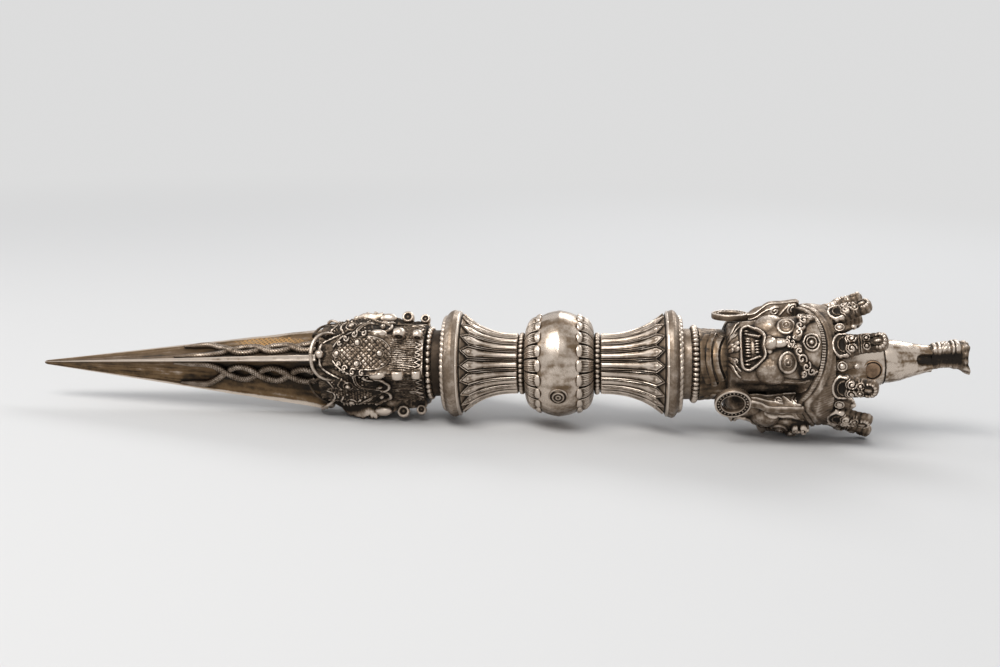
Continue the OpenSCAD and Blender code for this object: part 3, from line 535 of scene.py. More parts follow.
def node_group(name, kind, inputs, outputs, fill):
    """The node group of this name, filled by a function when it is first asked for."""
    made = bpy.data.node_groups.get(name)
    if not made:
        made = bpy.data.node_groups.new(name, kind)
        for in_out, sockets in (("INPUT", inputs), ("OUTPUT", outputs)):
            for title, sort in sockets.items():
                made.interface.new_socket(title, in_out=in_out, socket_type="NodeSocket" + sort)
        tree = Tree(made)
        fill(tree, tree.add("NodeGroupInput").outputs, tree.add("NodeGroupOutput").inputs)
    return made


# Materials

def fill_patina(tree, start, end):
    """Rubbed heights, an even middle and patina in the hollows, from the rubbing and painted shade given and
    from other metal nearby; near the floor this darkening is painted shade.
    """
    place = tree.add("ShaderNodeTexCoord").outputs["Object"]

    def noise(scale, detail, rough):
        return tree.add("ShaderNodeTexNoise", {"Vector": place, "Scale": scale, "Detail": detail,
                                               "Roughness": rough}).outputs["Fac"]

    blotch = tree.calc("SUBTRACT", noise(start["Mottle Size"], 6.0, 0.62), 0.5)
    fine, grain = noise(2600.0, 3.0, 0.6), noise(1100.0, 4.0, 0.65)
    # Patina where other metal is near; where the floor is near, this darkening is painted shade
    cavity = tree.add("ShaderNodeAmbientOcclusion", {"Distance": CAVITY_REACH}, samples=6, only_local=False)
    hollow = tree.calc("SUBTRACT", 1.0, cavity.outputs["AO"])
    wear_and_shade = tree.calc("MULTIPLY_ADD", blotch, tree.calc("MULTIPLY", start["Mottle"], 2.4), start["Wear and Shade"])
    wear_and_shade = tree.calc("SUBTRACT", wear_and_shade, tree.calc("MULTIPLY", hollow, start["Cavity"]))
    wear_and_shade = tree.calc("MULTIPLY_ADD", tree.calc("SUBTRACT", grain, 0.5), 0.22, wear_and_shade, clamp=True)
    low = tree.mixed(tree.ranged(wear_and_shade, 0.12, 0.52), start["Deep"], start["Middle"])
    tree.put(end["Color"], tree.mixed(tree.ranged(wear_and_shade, 0.50, 0.86), low, start["Bright"]))
    rough = tree.ranged(wear_and_shade, 0.15, 0.85, start["Dull"], start["Smooth"])
    rough = tree.calc("MULTIPLY_ADD", tree.calc("SUBTRACT", fine, 0.5), 0.16, rough, clamp=True)
    tree.put(end["Roughness"], rough)
    tree.put(end["Metallic"], tree.ranged(wear_and_shade, 0.05, 0.45, 0.55, 1.0))
    tree.put(end["Height"], tree.calc("MULTIPLY_ADD", grain, 0.7, tree.calc("MULTIPLY", fine, 0.3)))


def patina_group():
    colors = dict.fromkeys(("Bright", "Middle", "Deep"), "Color")
    values = dict.fromkeys(("Wear and Shade", "Mottle", "Mottle Size", "Smooth", "Dull", "Cavity"), "Float")
    results = {"Color": "Color", "Roughness": "Float", "Metallic": "Float", "Height": "Float"}
    return node_group("aged_metal", "ShaderNodeTree", colors | values, results, fill_patina)


def golden_patch(tree, color):
    """Rubs one patch of the upper wing's face back to golden metal, in crossing strokes."""
    place = tree.add("ShaderNodeTexCoord").outputs["Object"]
    apart = tree.vector("DIVIDE", tree.vector("SUBTRACT", place, PATCH_AT)[0], PATCH_SIZE)[0]
    noise = tree.add("ShaderNodeTexNoise", {"Vector": place, "Scale": 700.0}).outputs["Fac"]
    ragged = tree.calc("MULTIPLY_ADD", noise, 0.7, tree.vector("LENGTH", apart)["Value"])
    split = tree.add("ShaderNodeSeparateXYZ", {0: place}).outputs
    along = tree.calc("MULTIPLY", split["X"], 4000.0)
    strokes = [tree.calc("SINE", tree.calc("MULTIPLY_ADD", split["Y"], slope, along))
               for slope in (3700.0, -3700.0)]
    hatch = tree.ranged(tree.calc("MAXIMUM", *strokes), 0.0, 0.85, 0.12, 1.0)
    share = tree.calc("MULTIPLY", tree.ranged(ragged, 0.9, 1.35, 0.92, 0.0), hatch)
    return tree.mixed(share, color, (*bpy.context.scene.phurba_finish.golden, 1))


def metal(name, bright, middle, deep, wear=None, mottle=0.3, size=260.0, smooth=0.34, dull=0.72,
          cavity=0.55, grain=1.0, rub=None):
    """A metal with patina. Its rubbing is one value, or None to read it from the piece, where it carries
    painted shade in a few places; rub changes the colour.
    """
    made = bpy.data.materials.get("aged_" + name)
    if made:
        return made
    made = bpy.data.materials.new("aged_" + name)
    made.use_nodes = True
    tree = Tree(made.node_tree)
    if wear is None:
        # The relief attribute holds rubbing and patina, and painted shade in the neck's recess, the finial's
        # hollow and beside the front wing's edge
        wear = tree.add("ShaderNodeAttribute", attribute_name="relief").outputs["Fac"]
    aged = tree.add("ShaderNodeGroup", {"Bright": (*bright, 1), "Middle": (*middle, 1), "Deep": (*deep, 1),
                                        "Wear and Shade": wear, "Mottle": mottle, "Mottle Size": size, "Smooth": smooth,
                                        "Dull": dull, "Cavity": cavity}, node_tree=patina_group()).outputs
    bump = tree.add("ShaderNodeBump", {"Strength": 0.6, "Height": aged["Height"],
                                       "Distance": bpy.context.scene.phurba_finish.bump * grain})
    color = rub(tree, aged["Color"]) if rub else aged["Color"]
    shader = made.node_tree.nodes["Principled BSDF"].inputs
    for key, value in (("Base Color", color), ("Roughness", aged["Roughness"]),
                       ("Metallic", aged["Metallic"]), ("Normal", bump.outputs["Normal"])):
        tree.put(shader[key], value)
    return made


def silver(name, middle=None, **look):
    f = bpy.context.scene.phurba_finish
    return metal(name, f.silver_bright, middle or f.silver_middle, f.patina, **look)


def chased_silver():
    return silver("chased_silver")


def plain_silver():
    return silver("plain_silver", wear=0.60, mottle=0.26)


def polished_silver():
    f = bpy.context.scene.phurba_finish
    middle = [0.5 * (a + b) for a, b in zip(f.silver_middle, f.valley)]
    return silver("polished_silver", middle, mottle=0.42, size=190.0, smooth=0.27, dull=0.55,
                  cavity=0.4, grain=0.5)


def blade_bronze():
    return silver("blade_bronze", bpy.context.scene.phurba_finish.valley, size=150.0, smooth=0.30,
                  dull=0.62, cavity=0.35, rub=golden_patch)


def dark_bronze():
    return metal("dark_bronze", (0.20, 0.155, 0.12), (0.075, 0.055, 0.04), (0.018, 0.013, 0.01),
                 wear=0.5, mottle=0.34, size=200.0, smooth=0.45)


def gilt_bronze():
    f = bpy.context.scene.phurba_finish
    return metal("gilt_bronze", [min(1, 1.5 * c) for c in f.gilt], f.gilt, f.patina, smooth=0.36)


def rod_iron():
    return metal("rod_iron", (0.30, 0.29, 0.28), (0.17, 0.16, 0.155), (0.05, 0.045, 0.04), wear=0.55)


# From forms to pieces

def mesh_from(form, name, matrix):
    """A Blender mesh of a form, put in its place by the matrix."""
    form = form.outward()
    points = placed_by(matrix, form.points)
    quads, tris = form.quads, form.tris
    loops = np.concatenate([quads.ravel(), tris.ravel()]).astype(np.int32)
    starts = np.concatenate([np.arange(len(quads)) * 4, 4 * len(quads) + np.arange(len(tris)) * 3])
    made = bpy.data.meshes.new(name)
    made.vertices.add(len(points))
    made.vertices.foreach_set("co", points.astype(np.float32).ravel())
    made.loops.add(len(loops))
    made.loops.foreach_set("vertex_index", loops)
    made.polygons.add(len(starts))
    made.polygons.foreach_set("loop_start", starts.astype(np.int32))
    made.polygons.foreach_set("use_smooth", np.ones(len(starts), bool))
    made.update(calc_edges=True)
    made.attributes.new("relief", "FLOAT", "POINT").data.foreach_set("value", form.wear_and_shade.astype(np.float32))
    made.set_sharp_from_angle(angle=math.radians(62))
    return made


def settle(made, name, replaces, material, slot="silvered_bronze"):
    """Links a finished mesh as a piece on the frame, in the place of the nodes named."""
    piece = bpy.data.objects.new(name, made)
    bpy.context.scene.collection.objects.link(piece)
    made.materials.clear()
    made.materials.append(material)
    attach(piece, "root")
    if replaces:
        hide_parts(*replaces)
    return piece


def piece(forms, name, *replaces, material=None, slot="silvered_bronze", matrix=LAY):
    """One or several forms as one piece, of chased silver unless the call says otherwise."""
    form = joined(forms if isinstance(forms, list) else [forms])
    return settle(mesh_from(form, name, matrix), name, replaces, material or chased_silver(), slot)


def finished(tree, geometry, start, end):
    """Ends a tree with its material."""
    done = tree.add("GeometryNodeSetMaterial", {"Geometry": geometry, "Material": start["Finish"]})
    tree.put(end[0], done.outputs[0])


def fill_round(tree, start, end):
    """Copies of one piece turned round the axis, welded where they meet."""
    line = tree.add("GeometryNodeMeshLine", {"Offset": (0, 0, 0), "Count": start["Count"]}, mode="OFFSET")
    one = tree.add("GeometryNodeObjectInfo", {"Object": start["Piece"]}, transform_space="ORIGINAL")
    share = tree.calc("DIVIDE", tree.add("GeometryNodeInputIndex").outputs[0], start["Count"])
    turn = tree.add("ShaderNodeCombineXYZ", {"Z": tree.calc("MULTIPLY", share, 2 * math.pi)})
    copies = tree.add("GeometryNodeInstanceOnPoints", {
        "Points": line.outputs["Mesh"], "Instance": one.outputs["Geometry"], "Rotation": turn.outputs[0]})
    real = tree.add("GeometryNodeRealizeInstances", {0: copies.outputs[0]})
    weld = tree.add("GeometryNodeMergeByDistance", {0: real.outputs[0], "Distance": WELD})
    finished(tree, weld.outputs[0], start, end)


def fill_strand(tree, start, end):
    """A scaled body along a line of points: a round bar, thick as the points say, with rows of scales."""
    def keep(geometry, name, value):
        node = tree.add("GeometryNodeStoreNamedAttribute",
                        {"Geometry": geometry, "Name": name, "Value": value},
                        data_type="FLOAT", domain="POINT")
        return node.outputs[0]

    def read(name):
        node = tree.add("GeometryNodeInputNamedAttribute", {"Name": name}, data_type="FLOAT")
        return node.outputs["Attribute"]

    far = tree.add("GeometryNodeSplineParameter").outputs
    path = tree.add("GeometryNodeMeshToCurve", {"Mesh": start["Geometry"]})
    circle = tree.add("GeometryNodeCurvePrimitiveCircle", {"Resolution": 16, "Radius": start["Radius"]},
                      mode="RADIUS")
    middle = keep(path.outputs[0], "far", far["Length"])
    profile = keep(circle.outputs["Curve"], "round", far["Factor"])
    body = tree.add("GeometryNodeCurveToMesh",
                    {"Curve": middle, "Profile Curve": profile, "Fill Caps": True})
    lengthways = tree.calc("DIVIDE", read("far"), start["Scale Length"])
    sideways = tree.calc("MULTIPLY", read("round"), start["Rows"])
    waves = [tree.calc("SINE", tree.calc("MULTIPLY", tree.calc(kind, lengthways, sideways), math.pi))
             for kind in ("ADD", "SUBTRACT")]
    pattern = tree.calc("POWER", tree.calc("ABSOLUTE", tree.calc("MULTIPLY", *waves)), 0.5)
    grow = tree.calc("MULTIPLY", pattern, start["Scale Height"])
    thick = tree.calc("MULTIPLY", tree.calc("SUBTRACT", read("thick"), 1.0), start["Radius"])
    push = tree.add("ShaderNodeVectorMath", {0: tree.add("GeometryNodeInputNormal").outputs[0],
                                             "Scale": tree.calc("ADD", grow, thick)}, operation="SCALE")
    shift = tree.add("GeometryNodeSetPosition", {"Geometry": body.outputs[0], "Offset": push.outputs[0]})
    wear_and_shade = keep(shift.outputs[0], "relief", tree.calc("MULTIPLY_ADD", pattern, 0.62, 0.22))
    shade = tree.add("GeometryNodeSetShadeSmooth", {"Geometry": wear_and_shade})
    finished(tree, tree.add("GeometryNodeRealizeInstances", {0: shade.outputs[0]}).outputs[0], start, end)


def grown(base, tree, values, name, matrix):
    """The mesh that a tree makes from a base mesh, put in its place by the matrix."""
    carrier = bpy.data.objects.new(name + "_carrier", base)
    bpy.context.scene.collection.objects.link(carrier)
    modifier = carrier.modifiers.new("grow", "NODES")
    modifier.node_group = tree
    sockets = {s.name: s.identifier for s in tree.interface.items_tree
               if s.item_type == "SOCKET" and s.in_out == "INPUT"}
    for key, value in values.items():
        modifier[sockets[key]] = value
    graph = bpy.context.evaluated_depsgraph_get()
    made = bpy.data.meshes.new_from_object(carrier.evaluated_get(graph), depsgraph=graph)
    carrier.modifiers.clear()
    bpy.data.objects.remove(carrier)
    if len(made.polygons) == 0:
        raise RuntimeError(name + " came out empty")
    made.name = name
    made.transform(matrix)
    return made


def repeated(forms, count, name, *replaces, material=None, slot="silvered_bronze", matrix=LAY):
    """One form turned round the axis count times, as one piece."""
    form = joined(forms if isinstance(forms, list) else [forms])
    material = material or chased_silver()
    source = bpy.data.objects.new(name + "_one", mesh_from(form, name + "_one", Matrix.Identity(4)))
    bpy.context.scene.collection.objects.link(source)
    tree = node_group("repeat_round", "GeometryNodeTree",
                      {"Geometry": "Geometry", "Piece": "Object", "Count": "Int", "Finish": "Material"},
                      {"Geometry": "Geometry"}, fill_round)
    made = grown(bpy.data.meshes.new(name + "_base"), tree,
                 {"Piece": source, "Count": count, "Finish": material}, name, matrix)
    bpy.data.objects.remove(source)
    return settle(made, name, replaces, material, slot)


# Blade

def flute(valley):
    """A valley's middle angle, the angle from there to its corners, and its flute's place and radius."""
    middle = (WINGS[valley] + WINGS[valley + 1]) / 2
    corner = (WINGS[valley + 1] - WINGS[valley]) / 2 - EDGE_HALF
    at = (BLADE_R ** 2 - VALLEY_R ** 2) / (2 * (BLADE_R * math.cos(math.radians(corner)) - VALLEY_R))
    return middle, corner, at, at - VALLEY_R


def blade_share(place):
    """Size of the blade at a place, as a share of its size at the shoulder."""
    return (TIP_R + (BLADE_R - TIP_R) * place / PLACE["guard"]) / BLADE_R


def blade_form():
    """Three wings with channelled bright edges and fluted faces, tapering to a blunt tip."""
    length = PLACE["guard"]
    outline, wear_and_shade, across, face = [], [], [], []
    for k in range(3):
        middle, corner, at, radius = flute(k)
        middle, corner = math.radians(middle), math.radians(corner)
        reach = math.atan2(BLADE_R * math.sin(corner), at - BLADE_R * math.cos(corner))
        for s in np.linspace(-1, 1, 85):
            p = at - radius * math.cos(s * reach), radius * math.sin(s * reach)
            outline.append([p[0] * math.cos(middle) - p[1] * math.sin(middle),
                            p[0] * math.sin(middle) + p[1] * math.cos(middle)])
            wear_and_shade.append(0.43 + 0.46 * soft(abs(s), 0.87, 0.94))
            across.append(s)
            face.append(k)
        # The wing's flat edge: two bright lines beside a shallow channel
        for s in (0.07, 0.2, 0.34, 0.5, 0.66, 0.8, 0.93):
            a = math.radians(WINGS[k + 1] + EDGE_HALF * (2 * s - 1))
            dip = 1 - soft(abs(2 * s - 1), 0.3, 0.75)
            outline.append(np.array([math.cos(a), math.sin(a)]) * BLADE_R * (1.003 - 0.010 * dip))
            wear_and_shade.append(1.0 - 0.38 * dip)
            across.append(1.0)
            face.append(-1)
    outline, wear_and_shade, across, face = np.array(outline), np.array(wear_and_shade), np.array(across), np.array(face)
    places = np.concatenate([[0, 0.35, 0.8], np.linspace(1.5, length, 190)])
    share = blade_share(places)
    share[0] *= 0.45
    share[1] *= 0.86
    rings = np.concatenate([outline[None] * share[:, None, None],
                            np.broadcast_to(places[:, None, None], (len(places), len(outline), 1))], -1)
    size = rings.shape[:2]
    rough = cast_grain(size, 3, 0.030, 11, True)
    rings[..., :2] *= (1 + rough / 12 * np.minimum(1, share * 2)[:, None])[..., None]
    t, open_face = places[:, None], (face >= 0)[None]
    line = (streaks(size, 16, 12) + streaks(size, 5, 13)) * 0.045 + cast_grain(size, 2, 0.03, 16, True)
    deep = 1 - np.abs(across)[None]
    # Patina round the serpents, painted shade on the front valley under the front wing's edge, and darker
    # metal towards the monsters' mouths
    patina_and_shade = soft(t, 44, 62) * soft(deep, 0.3, 0.72) * 0.17
    patina_and_shade = patina_and_shade + soft(t, 80, 93) * 0.14
    # Painted shade: the front valley is darkened beside the front wing's edge
    patina_and_shade = patina_and_shade + (face == 0)[None] * soft(-across[None], 0.5, 0.92) * soft(t, 30, 60) * 0.16
    shade = wear_and_shade[None] + open_face * (line - patina_and_shade)
    # The channel in the edge fades out towards the tip
    shade = shade + ~open_face * (1 - wear_and_shade[None]) * (1 - 0.55 * soft(t, 36, 62))
    shade = shade + ~open_face * cast_grain(size, 1, 0.05, 14, True) + cast_grain(size, 6, 0.035, 15, True)
    tang = tube([[0, 0, length - 1], [0, 0, length + 11]], 4.3, 32, 0.3)
    return [loft(rings, np.clip(shade, 0, 1)), tang]


def valley_point(valley, place, aside, high):
    """A point over a valley of the blade: sideways distance and height above its surface."""
    _, _, at, radius = flute(valley)
    share = blade_share(place)
    r = radius * share - high
    return [at * share - r * math.cos(aside / r), r * math.sin(aside / r), place]


class PHURBA_OT_blade(bpy.types.Operator):
    """Make the three winged blade"""
    bl_idname = "phurba.blade"
    bl_label = "Blade"

    def execute(self, context):
        piece(blade_form(), "winged_blade", "blade", material=blade_bronze(), slot="blade_bronze")
        return {"FINISHED"}


class PHURBA_OT_serpents(bpy.types.Operator):
    """Braid two scaled serpents in each valley of the blade"""
    bl_idname = "phurba.serpents"
    bl_label = "Serpents"

    def execute(self, context):
        radius = context.scene.phurba_form.strand_radius * 1000
        # The crossing nearest the tip, the length and half width of a loop, the free tails' length and
        # spread, and the place where the braid ends under the monsters
        crossing, loop, half, tail, spread, stop = 63.3, 10.6, 3.1, 17.0, 5.2, 92.6
        for side, valley in VALLEYS.items():
            points, edges, thick = [], [], []
            for strand in (-1, 1):
                places = np.arange(crossing - tail, stop, 0.2)
                first = len(points)
                for t in places:
                    turn = (t - crossing) / loop * math.pi
                    if t < crossing:
                        out = spread + 0.6 - 0.035 * (crossing - t)
                        aside = -out * math.sin(min(1, (crossing - t) / 9.5) * math.pi / 2)
                    else:
                        aside = half * math.sin(turn)
                    over = 0 if t < crossing - loop / 2 else max(0, strand * math.cos(turn)) ** 2
                    fat = 1 + 0.12 * soft(t, crossing, stop)
                    points.append(valley_point(valley, t, strand * aside, radius * (0.55 + 0.95 * over)))
                    thick.append(fat * (0.15 + 0.85 * soft(t, places[0], places[0] + 7)))
                edges += [(k, k + 1) for k in range(first, len(points) - 1)]
            base = bpy.data.meshes.new("serpent_path")
            base.from_pydata(points, edges, [])
            base.attributes.new("thick", "FLOAT", "POINT").data.foreach_set("value", thick)
            tree = node_group("scaled_strand", "GeometryNodeTree",
                              {"Geometry": "Geometry", "Radius": "Float", "Scale Length": "Float",
                               "Scale Height": "Float", "Rows": "Float", "Finish": "Material"},
                              {"Geometry": "Geometry"}, fill_strand)
            made = grown(base, tree,
                         {"Radius": radius, "Scale Length": 0.85, "Scale Height": 0.32, "Rows": 5.0,
                          "Finish": chased_silver()}, "scaled_serpents_" + side,
                         LAY @ rotation(flute(valley)[0]))
            settle(made, "scaled_serpents_" + side, ("serpents_" + side,), chased_silver())
        return {"FINISHED"}


# Guard

def nose_turned(forms, degrees):
    """Turns the middle of a monster's head a little about the axis, and leaves its flanks."""
    made = []
    for form in forms:
        x, y, z = form.points.T
        a = np.degrees(np.arctan2(y, x))
        turn = np.radians(degrees * (1 - soft(np.abs(a), 36, 58)))
        points = np.stack([x * np.cos(turn) - y * np.sin(turn), x * np.sin(turn) + y * np.cos(turn), z], -1)
        made.append(form.at(points))
    return made


def rolled_curl(radius, width):
    """A curl rolled up into a short drum across the guard, with a dark eye in each end."""
    w = width / 2
    half = [(w - 0.2, 0.03, 0.5), (w - 0.25, 0.2, 0.35), (w - 0.4, 0.36, 0.12), (w - 0.4, 0.46, 0.1),
            (w - 0.06, 0.6, 0.6), (w, 0.76, 0.75), (w - 0.3, 0.96, 0.95)]
    outline = [(-y, r, s) for y, r, s in half] + [(0, 1.0, 0.9)] + half[::-1]
    turn = np.radians(all_round(30))
    rings = np.array([[(radius * r * math.cos(a), y, radius * r * math.sin(a)) for a in turn]
                      for y, r, _ in outline])
    return loft(rings, np.array([[s] for _, _, s in outline]))


def wire(hand, places, thick, sides, wear_and_shade):
    """A bar through a few places, given for one side by angle, radius and level."""
    path = curve_through([on_axis(hand * a, r, v) for a, r, v in places], len(thick))
    return tube(path, thick, sides, wear_and_shade)


def monster_forms():
    """A sea monster's head that swallows a wing, with its middle at angle 0 and the shoulder at 0."""
    length = PLACE["guard_beads"] - PLACE["guard"]
    pitch = bpy.context.scene.phurba_form.hair_lines * 1000
    angle = np.linspace(-60, 60, 261)
    place = np.linspace(0, length - 0.05, 205)
    v, a = np.meshgrid(place, angle, indexing="ij")
    rad = np.radians(a)
    arc = rad * GUARD_ARC
    broad = cast_grain(v.shape, 7, 1.0, 22)
    # The flat topped snout: height of its top over the axis along its length
    top = np.interp(v, [0, 1.5, 3.5, 5.5, 8, 12, 18, 20, 22, 24, 26.5, length],
                    [12.2, 12.6, 13.3, 14.7, 15.6, 16.05, 16.2, 15.9, 15.1, 14.2, 13.5, 13.1])
    snout = top / np.cos(np.clip(rad, -0.62, 0.62))
    across = np.abs(np.minimum(snout, 17.8) * np.sin(rad))
    half = np.interp(v, [0, 2, 4.5, 6.5, 8.5, 11, 13.5, 17, 20, 24, length],
                     [3.4, 3.6, 3.3, 3.9, 5.4, 6.5, 7.0, 7.1, 6.9, 6.3, 6.3])
    inside = 1 - soft(across, half - 0.3, half + 1.3)
    flank = np.interp(v, [0, 4, 9, 16, 20.5, 22.5, length], [11.2, 12.2, 13.1, 13.2, 12.6, 12.4, 12.1])
    flank = flank + 0.8 * np.clip(1 - ((np.abs(a) - 45) / 12) ** 2, 0, 1) * (1 - soft(v, 15, 20))
    hollow = np.exp(-((np.abs(a) - 42) / 5) ** 2 - ((v - 20.0) / 2.2) ** 2)
    flank = flank - 1.3 * hollow - 0.9 * np.exp(-((np.abs(a) - 54) / 5) ** 2 - ((v - 2.0) / 2.5) ** 2)
    base = flank + (snout - flank) * inside
    # A low ridge carries the curls on each side of the hair panel
    curl_at = 24.5
    bank = bell(np.abs(a) - curl_at, 3.2) * soft(v, 16.5, 19) * (1 - soft(v, 32.4, 33.6))
    base = np.maximum(base, 12.2 + 2.5 * bank)

    work = Chasing(arc, v)
    for hand in (-1, 1):
        lip = [(math.radians(x) * GUARD_ARC, y) for x, y in
               ((0, 0.6), (12, 0.9), (21, 2.0), (29, 4.8), (36, 8.6), (43, 11.8), (47, 12.6))]
        work.ridge(mirrored(hand, lip, 30), 0.5, 0.55, 0.3)
        rim = mirrored(hand, ((4.4, 5.6), (6.0, 8.2), (7.3, 11.4), (8.0, 15.0), (8.1, 18.0)), 30)
        work.balls_along(rim, 1.35, 0.55, 0.75)
        hook = mirrored(hand, ((7.8, 17.6), (9.8, 20.6), (12.0, 22.6), (14.2, 22.5), (15.3, 20.6),
                               (14.2, 19.2)), 28)
        work.ridge(hook, 0.9, 1.2, 0.7)
        work.ball(hand * 12.9, 19.9, 0.9, 1.3)
        work.ball(hand * 8.8, 16.2, 0.6, 0.9, 2.3, -17 * hand)
        leaf = [(math.radians(x) * GUARD_ARC, y) for x, y in
                ((30, 11.8), (37, 12.4), (45, 14.2), (52, 17.2), (58, 20.6))]
        leaf = mirrored(hand, leaf, 26)
        work.ridge(leaf, 0.75, 1.0, 0.6)
        work.groove(leaf + [hand * 0.1, 0.15], 0.24, 0.4)
        eye = (hand * 11.3, 10.0)
        work.ball(*eye, 1.0, 1.15)
        work.ring(*eye, 1.6, 0.26, 0.55)
        work.ridge(mirrored(hand, ((8.8, 7.8), (11.2, 6.6), (13.6, 7.6)), 16), 0.45, 0.8, 0.3)
        for u, place_v, r in ((12.6, 13.0, 0.5), (13.4, 19.0, 0.5), (14.2, 14.8, 0.45), (10.6, 14.6, 0.4),
                              (14.6, 9.0, 0.45), (13.2, 5.8, 0.4), (9.8, 12.6, 0.4)):
            work.ball(hand * u, place_v, r, 0.6)
        jaw = mirrored(hand, ((15.6, 1.2), (13.4, 3.4), (10.2, 2.2), (8.4, 0.4)), 22)
        work.groove(jaw, 0.8, 1.0)
        work.ridge(jaw + [0, 1.35], 0.4, 0.6)
        work.balls_along(jaw + [0, 2.3], 1.0, 0.4, 0.4)
    # Small scales over the flanks
    cell = 0.95
    flank_part = soft(np.abs(a), 32, 36) * (1 - soft(v, 15, 18)) * soft(v, 4, 6)
    row = (v + 0.1 * broad) / cell
    shift = 0.5 * (np.floor(row) % 2)
    du = np.abs((arc / cell + shift) % 1 - 0.5) * 2
    dv = np.abs(row % 1 - 0.5) * 2
    work.h = np.maximum(work.h, 0.24 * dome((du ** 2 + dv ** 2) * 0.85) * flank_part)
    # Scale plate: a fine diamond net in an egg with a border of volutes and four studs
    egg_v = [5.2, 6.2, 8.5, 11, 13.3, 17, 20.3, 22.3, 23.6, 24.2]
    egg_u = [0, 1.9, 3.7, 4.3, 4.5, 4.7, 4.4, 3.6, 2.0, 0]
    plate = soft(np.interp(v, egg_v, egg_u, 0, 0) - np.abs(arc), -0.05, 0.35)
    net = 1.22
    p = (arc * 1.05 + v + 0.07 * broad) / net / 1.4142
    q = (arc * 1.05 - v + 0.07 * np.roll(broad, 40, 0)) / net / 1.4142
    diamond = np.minimum(1 - np.abs(p % 1 - 0.5) * 2, 1 - np.abs(q % 1 - 0.5) * 2)
    work.h = np.maximum(work.h, plate * (0.10 + 0.19 * soft(diamond, 0.02, 0.5)))
    for hand in (-1, 1):
        work.ridge(mirrored(hand, list(zip(egg_u, egg_v))[1:-1], 50), 0.2, 0.32)
        work.ridge(mirrored(hand, ((2.3, 5.6), (3.9, 7.2), (5.2, 9.3), (6.0, 11.6), (6.5, 14.6),
                                   (6.3, 17.4)), 40), 0.34, 0.75)
        volutes = ((3.15, 7.6, 0.8), (4.35, 9.7, 0.95), (5.2, 12.4, 1.0), (5.55, 15.3, 0.9))
        for k, (u, place_v, r) in enumerate(volutes):
            work.spiral(hand * u, place_v, r, 1.1, 0.32, 0.85, 60 + 35 * k, hand)
            work.ball(hand * u, place_v, 0.34, 0.8)
    for su, sv in ((0, 6.8), (3.0, 13.5), (-3.0, 13.5), (0, 20.6)):
        work.ring(su, sv, 1.2, 0.22, 0.42)
        work.ball(su, sv, 0.98, 0.95)
    # Hair lines behind the plate and between two monsters
    y_side = base * np.sin(rad) + 0.10 * np.sin(v * 0.9 + arc * 2) + 0.05 * broad
    line = np.abs(np.cos(np.pi * y_side / pitch)) ** 0.8
    middle_hair = soft(v, 23.0, 24.2) * (1 - soft(v, 31.4, 32.2)) * (1 - soft(np.abs(a), 19.5, 21.5))
    side_hair = soft(v, 22.6, 24.0) * (1 - soft(v, 31.2, 31.9)) * soft(np.abs(a), 30, 32.5)
    side_line = np.abs(np.cos(np.pi * (arc * 0.8 + 0.04 * broad) / pitch)) ** 0.8
    work.h += 0.28 * line * middle_hair + 0.28 * side_line * side_hair
    for hand in (-1, 1):
        for k in range(3):
            tip_u = hand * (9.6 + 2.3 * k)
            work.ridge([(tip_u - hand * 1.0, 31.5), (tip_u, 33.2), (tip_u + hand * 1.0, 31.5)], 0.32, 0.5)
    for k in range(-2, 3):
        work.ridge([(1.75 * k - 0.8, 31.5), (1.75 * k, 33.2), (1.75 * k + 0.8, 31.5)], 0.3, 0.5)
    radius = base + work.h * (1 + 0.16 * broad) + rough_cast(base.shape, 0.08, 21)
    radius[-1] = np.minimum(radius[-1], 12.6)
    wear_and_shade = worn_from(radius - 0.92 * base, 0.17, False, 0.32, 0.50) + 0.05 * broad
    wall = 4 * inside * (1 - inside)
    wear_and_shade = np.clip(wear_and_shade - 0.20 * soft(np.abs(a), 28, 34) - 0.4 * hollow - 0.34 * wall, 0, 1)
    forms = [shell(on_axis(a, radius, v), CORE_BORE, wear_and_shade, False)]

    # The lip stands free in front of the snout, and a second wire runs down into each valley
    for hand in (-1, 1):
        lip = ((0, 15.3, -1.5), (9, 15.2, -1.3), (18, 15.0, -0.7), (26, 14.6, 0.6), (32, 13.9, 2.4),
               (37, 12.4, 4.6))
        jaw = ((27, 13.4, 2.6), (34, 12.7, 0.3), (42, 11.6, -1.9), (50, 10.2, -3.2), (57, 9.2, -3.7),
               (60, 8.8, -3.8))
        cheek = ((38, 12.6, 4.4), (46, 12.0, 1.8), (54, 11.0, 0.4), (60, 10.4, 0.0))
        forms += [wire(hand, lip, np.linspace(0.62, 0.4, 26), 12, 0.72),
                  wire(hand, jaw, np.linspace(0.35, 0.5, 24), 12, 0.3),
                  wire(hand, cheek, np.full(18, 0.42), 10, 0.25)]
        # One long curl and two rolled ones
        for curl, at in ((ellipsoid((1.75, 1.35, 2.8), 18, 24, 0.95), (15.7, 0, 19.7)),
                         (rolled_curl(2.05, 2.7), (15.9, 0, 26.3)),
                         (rolled_curl(1.65, 2.5), (15.3, 0, 32.1))):
            forms.append(curl.moved(at).turned(hand * curl_at))
    return forms + [ellipsoid((1.3, 1.35, 1.5), 16, 24, 0.85).moved((14.2, 0, 0.9))]


class PHURBA_OT_guard(bpy.types.Operator):
    """Make the three sea monsters of the guard"""
    bl_idname = "phurba.guard"
    bl_label = "Sea monster guard"

    def execute(self, context):
        forms = monster_forms()
        for side, angle in SIDES.items():
            own = nose_turned(forms, NOSE_TURN) if side == "front" else forms
            own = [f.turned(angle).placed("guard") for f in own]
            piece(own, "chased_monster_" + side, "sea_monster_" + side)
        return {"FINISHED"}


# Rings

